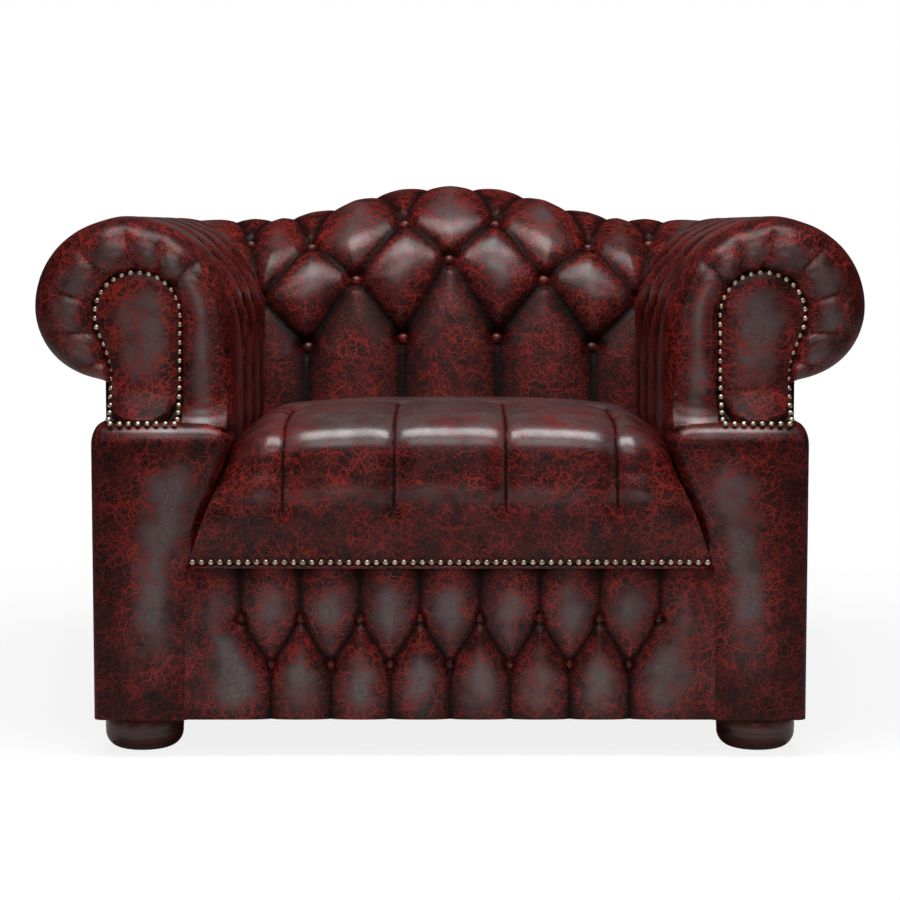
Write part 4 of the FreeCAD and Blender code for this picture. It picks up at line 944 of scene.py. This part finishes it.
class CHAIR_OT_border(ChairOperator, bpy.types.Operator):
    """Model the buttoned border, with the row of nails and the welt along its top"""
    bl_idname = "chair.border"
    bl_label = "Border"

    def execute(self, context):
        form = context.scene.chair_form
        half, pitch, low, high = 0.362, 0.081, 0.1246, 0.1876
        deep, shallow = 0.014, 0.008
        across, rise = np.linspace(-half, half, 330), np.linspace(BASE + 0.001, BORDER_TOP, 100)
        x, z = np.meshgrid(across, rise)
        points = np.dstack([x, np.full_like(x, BORDER_FACE), z])
        lower = [(k * pitch, low) for k in range(-3, 4)]
        upper = [((k + 0.5) * pitch, high) for k in range(-4, 4)]
        pleats = []
        for start in lower:
            pleats += [(*start, *end, deep, deep) for end in upper if abs(end[0] - start[0]) < 0.06]
            pleats.append((*start, start[0], BASE, deep, shallow))
        for spot in upper:
            pleats.append((*spot, spot[0], BORDER_TOP, deep, shallow))
        drawn, tone = quilted(x, z, lower + upper, pleats, pillow=0.036, pit=0.007, reach=0.018)
        hem = 0.004 * (1 - smoothstep(0, 0.02, z - BASE)) + 0.004 * (1 - smoothstep(0, 0.015, BORDER_TOP - z))
        lift = soften(0.009 - drawn, 1) - hem
        # Painted shade under the welt, at the ends and towards the floor.
        tone = tone * (0.2 + 0.8 * smoothstep(0.005, 0.05, BORDER_TOP - z))
        tone = tone * (1 - 0.6 * smoothstep(0.29, 0.34, abs(x)))
        tone = tone * (0.3 + 0.7 * smoothstep(0.0, 0.04, z - BASE))
        border = leather_sheet("border_panel", points, lift, tone)
        finish_piece(border, ["border_cover", "border_pad"])
        places = [((a, BORDER_FACE + 0.0105, b), (0, -1, 0)) for a, b in lower + upper]
        heads = place_domes("border_button_heads", places, 0.0085, BUTTON_HEIGHT, "leather")
        finish_piece(heads, ["border_buttons"])
        places = [((a, b - 0.002, c), (0, -1, 0)) for a, b, c in islands("border_nails")]
        nails = place_domes("border_nail_heads", places, form.nail, NAIL_HEIGHT, "antique_brass",
                            segments=12, rings=4)
        finish_piece(nails, ["border_nails"])
        path = [(a, b, BORDER_TOP - 0.0005) for a, b in ((-0.352, -0.441), (-0.1, -0.442), (0.1, -0.442),
                                                         (0.352, -0.441))]
        welt = welt_along("border_welt", path, form.welt * 0.8)
        finish_piece(welt)
        return {"FINISHED"}


class CHAIR_OT_outside(ChairOperator, bpy.types.Operator):
    """Model the outside panels of the arms and the back, with the welts at their edges"""
    bl_idname = "chair.outside"
    bl_label = "Outside panels"

    def execute(self, context):
        form = context.scene.chair_form
        rise = np.linspace(BASE + 0.002, NECK + 0.004, 90)
        turn = np.radians(np.linspace(0, 90, 14))
        radius = SIDE - ARM_AXIS
        front, long, side_belly, back_belly = -0.39, 0.72, 0.006, 0.007
        plan = np.vstack([[(SIDE, front)], [(SIDE, y) for y in np.linspace(-0.3, 0.3, 12)],
                          np.c_[ARM_AXIS + radius * np.cos(turn), BACK_AXIS + radius * np.sin(turn)]])
        plan = evenly(plan, 190)
        points = np.array([np.c_[plan, np.full(len(plan), z)] for z in rise])
        level = (points[..., 2] - BASE) / (NECK - BASE)
        upright = np.clip(np.sin(np.pi * np.clip(level, 0, 1)), 0, 1) ** 0.6
        lift = side_belly * upright * np.sin(np.pi * np.clip((points[..., 1] - front) / long, 0, 1)) ** 0.5
        # Painted highlight where the panel bellies out.
        tone = 0.3 + 0.7 * np.clip(lift / side_belly, 0, 1)
        for side, way in (("right", 1), ("left", -1)):
            turned = points if way > 0 else mirrored(points)
            panel = leather_sheet(f"outside_arm_panel_{side}", turned, lift, tone, flip=way < 0)
            finish_piece(panel, [f"outside_arm_{side}"])
            heights = np.linspace(BASE + 0.004, NECK - 0.004, 5)
            path = [(way * (ARM_AXIS + 0.0005), REAR + 0.001, z) for z in heights]
            welt = welt_along(f"corner_welt_{side}", path, form.welt)
            finish_piece(welt)
        across = np.linspace(-ARM_AXIS, ARM_AXIS, 200)
        x, level = np.meshgrid(across, np.linspace(0, 1, 90))
        crest = np.array([hump(a) for a in across])[None, :]
        z = BASE + 0.002 + level * (NECK + 0.002 - BASE + crest)
        points = np.dstack([-x, np.full_like(x, REAR), z])
        lift = back_belly * np.sin(np.pi * level) ** 0.6 * np.cos(np.pi / 2 * x / ARM_AXIS) ** 0.4
        # Painted highlight where the back panel bellies out.
        panel = leather_sheet("outside_back_panel", points, lift, 0.3 + 0.7 * lift / back_belly)
        finish_piece(panel, ["outside_back"])
        return {"FINISHED"}


class CHAIR_OT_stage(ChairOperator, bpy.types.Operator):
    """Set the floor, the lights, the background and the camera"""
    bl_idname = "chair.stage"
    bl_label = "Stage"

    def execute(self, context):
        look = context.scene.chair_stage
        ground = Finish("pale_floor")
        path = ground.node("ShaderNodeLightPath", output="Is Camera Ray")
        ground.set(Base_Color=(0.86, 0.86, 0.86), Roughness=0.9)
        glow = ground.node("ShaderNodeEmission", inputs={"Color": (1, 1, 1), "Strength": 1.0})
        result = next(n for n in ground.tree.nodes if n.type == "OUTPUT_MATERIAL")
        shader = Value(ground, ground.shader.outputs[0])
        where = ground.node("ShaderNodeTexCoord", output="Object")
        far = ground.node("ShaderNodeVectorMath", {"operation": "LENGTH"}, {0: where}, output="Value")
        share = path * (0.85 + far.between(0.7, 1.9) * 0.15)
        mixed = ground.node("ShaderNodeMixShader", inputs={0: share, 1: shader, 2: glow})
        ground.tree.links.new(mixed.socket, result.inputs["Surface"])
        bm = bmesh.new()
        bmesh.ops.create_circle(bm, cap_ends=True, segments=96, radius=80)
        floor = new_piece("floor", bm, "pale_floor", smooth=False)
        for name, place, aim, size, power in (
                ("high_light", (0, -2.6, 2.7), (0, 0, 0.42), (2.4, 1.2), look.key),
                ("top_light", (0, -0.7, 2.5), (0, 0, 0.4), (2.0, 0.9), look.top),
                ("front_light", (0, -3.7, 0.95), (0, 0, 0.42), (1.3, 0.9), look.front),
                ("left_light", (-2.6, -1.9, 1.1), (0, 0, 0.45), (1.0, 1.6), look.front),
                ("right_light", (2.6, -1.9, 1.1), (0, 0, 0.45), (1.0, 1.6), look.front)):
            lamp = bpy.data.lights.new(name, "AREA")
            lamp.shape, lamp.size, lamp.size_y, lamp.energy = "RECTANGLE", size[0], size[1], power
            light = bpy.data.objects.new(name, lamp)
            light.location = place
            light.rotation_euler = (Vector(aim) - Vector(place)).to_track_quat("-Z", "Y").to_euler()
            context.scene.collection.objects.link(light)
        world = bpy.data.worlds.new("studio")
        context.scene.world = world
        world.use_nodes = True
        tree = world.node_tree
        tree.nodes.clear()
        rays = tree.nodes.new("ShaderNodeLightPath")
        seen, lit = tree.nodes.new("ShaderNodeBackground"), tree.nodes.new("ShaderNodeBackground")
        seen.inputs["Color"].default_value = (1, 1, 1, 1)
        lit.inputs["Color"].default_value = (1, 1, 1, 1)
        lit.inputs["Strength"].default_value = look.fill
        blend, out = tree.nodes.new("ShaderNodeMixShader"), tree.nodes.new("ShaderNodeOutputWorld")
        tree.links.new(rays.outputs["Is Camera Ray"], blend.inputs[0])
        tree.links.new(lit.outputs[0], blend.inputs[1])
        tree.links.new(seen.outputs[0], blend.inputs[2])
        tree.links.new(blend.outputs[0], out.inputs["Surface"])
        lens = bpy.data.cameras.new("camera")
        lens.lens, lens.sensor_width = look.lens, 36
        camera = bpy.data.objects.new("camera", lens)
        camera.location = (0, -look.distance, look.height)
        camera.rotation_euler = (math.radians(90 - CAMERA_TILT), 0, 0)
        context.scene.collection.objects.link(camera)
        context.scene.camera = camera
        context.scene.view_settings.view_transform = "Standard"
        return {"FINISHED"}


class CHAIR_PT_panel(bpy.types.Panel):
    """Lists the steps that build the armchair"""
    bl_idname = "CHAIR_PT_panel"
    bl_label = "Armchair"
    bl_space_type = "VIEW_3D"
    bl_region_type = "UI"
    bl_category = "Armchair"

    def draw(self, context):
        for step in STEPS:
            self.layout.operator(step.bl_idname)
        for group in ("chair_form", "chair_leather", "chair_stage"):
            box = self.layout.box()
            settings = getattr(context.scene, group)
            for name in settings.__annotations__:
                box.prop(settings, name)


STEPS = (CHAIR_OT_materials, CHAIR_OT_back, CHAIR_OT_arms, CHAIR_OT_facings, CHAIR_OT_posts, CHAIR_OT_seat,
         CHAIR_OT_border, CHAIR_OT_outside, CHAIR_OT_stage)
GROUPS = {"chair_form": ChairForm, "chair_leather": LeatherLook, "chair_stage": StageLook}


def register():
    for kind in (*GROUPS.values(), *STEPS, CHAIR_PT_panel):
        bpy.utils.register_class(kind)
    for name, group in GROUPS.items():
        setattr(bpy.types.Scene, name, bpy.props.PointerProperty(type=group))


def unregister():
    for name in GROUPS:
        delattr(bpy.types.Scene, name)
    for kind in reversed((*GROUPS.values(), *STEPS, CHAIR_PT_panel)):
        bpy.utils.unregister_class(kind)


def main():
    register()
    for step in STEPS:
        area, name = step.bl_idname.split(".")
        getattr(getattr(bpy.ops, area), name)()


if __name__ == "__main__":
    main()
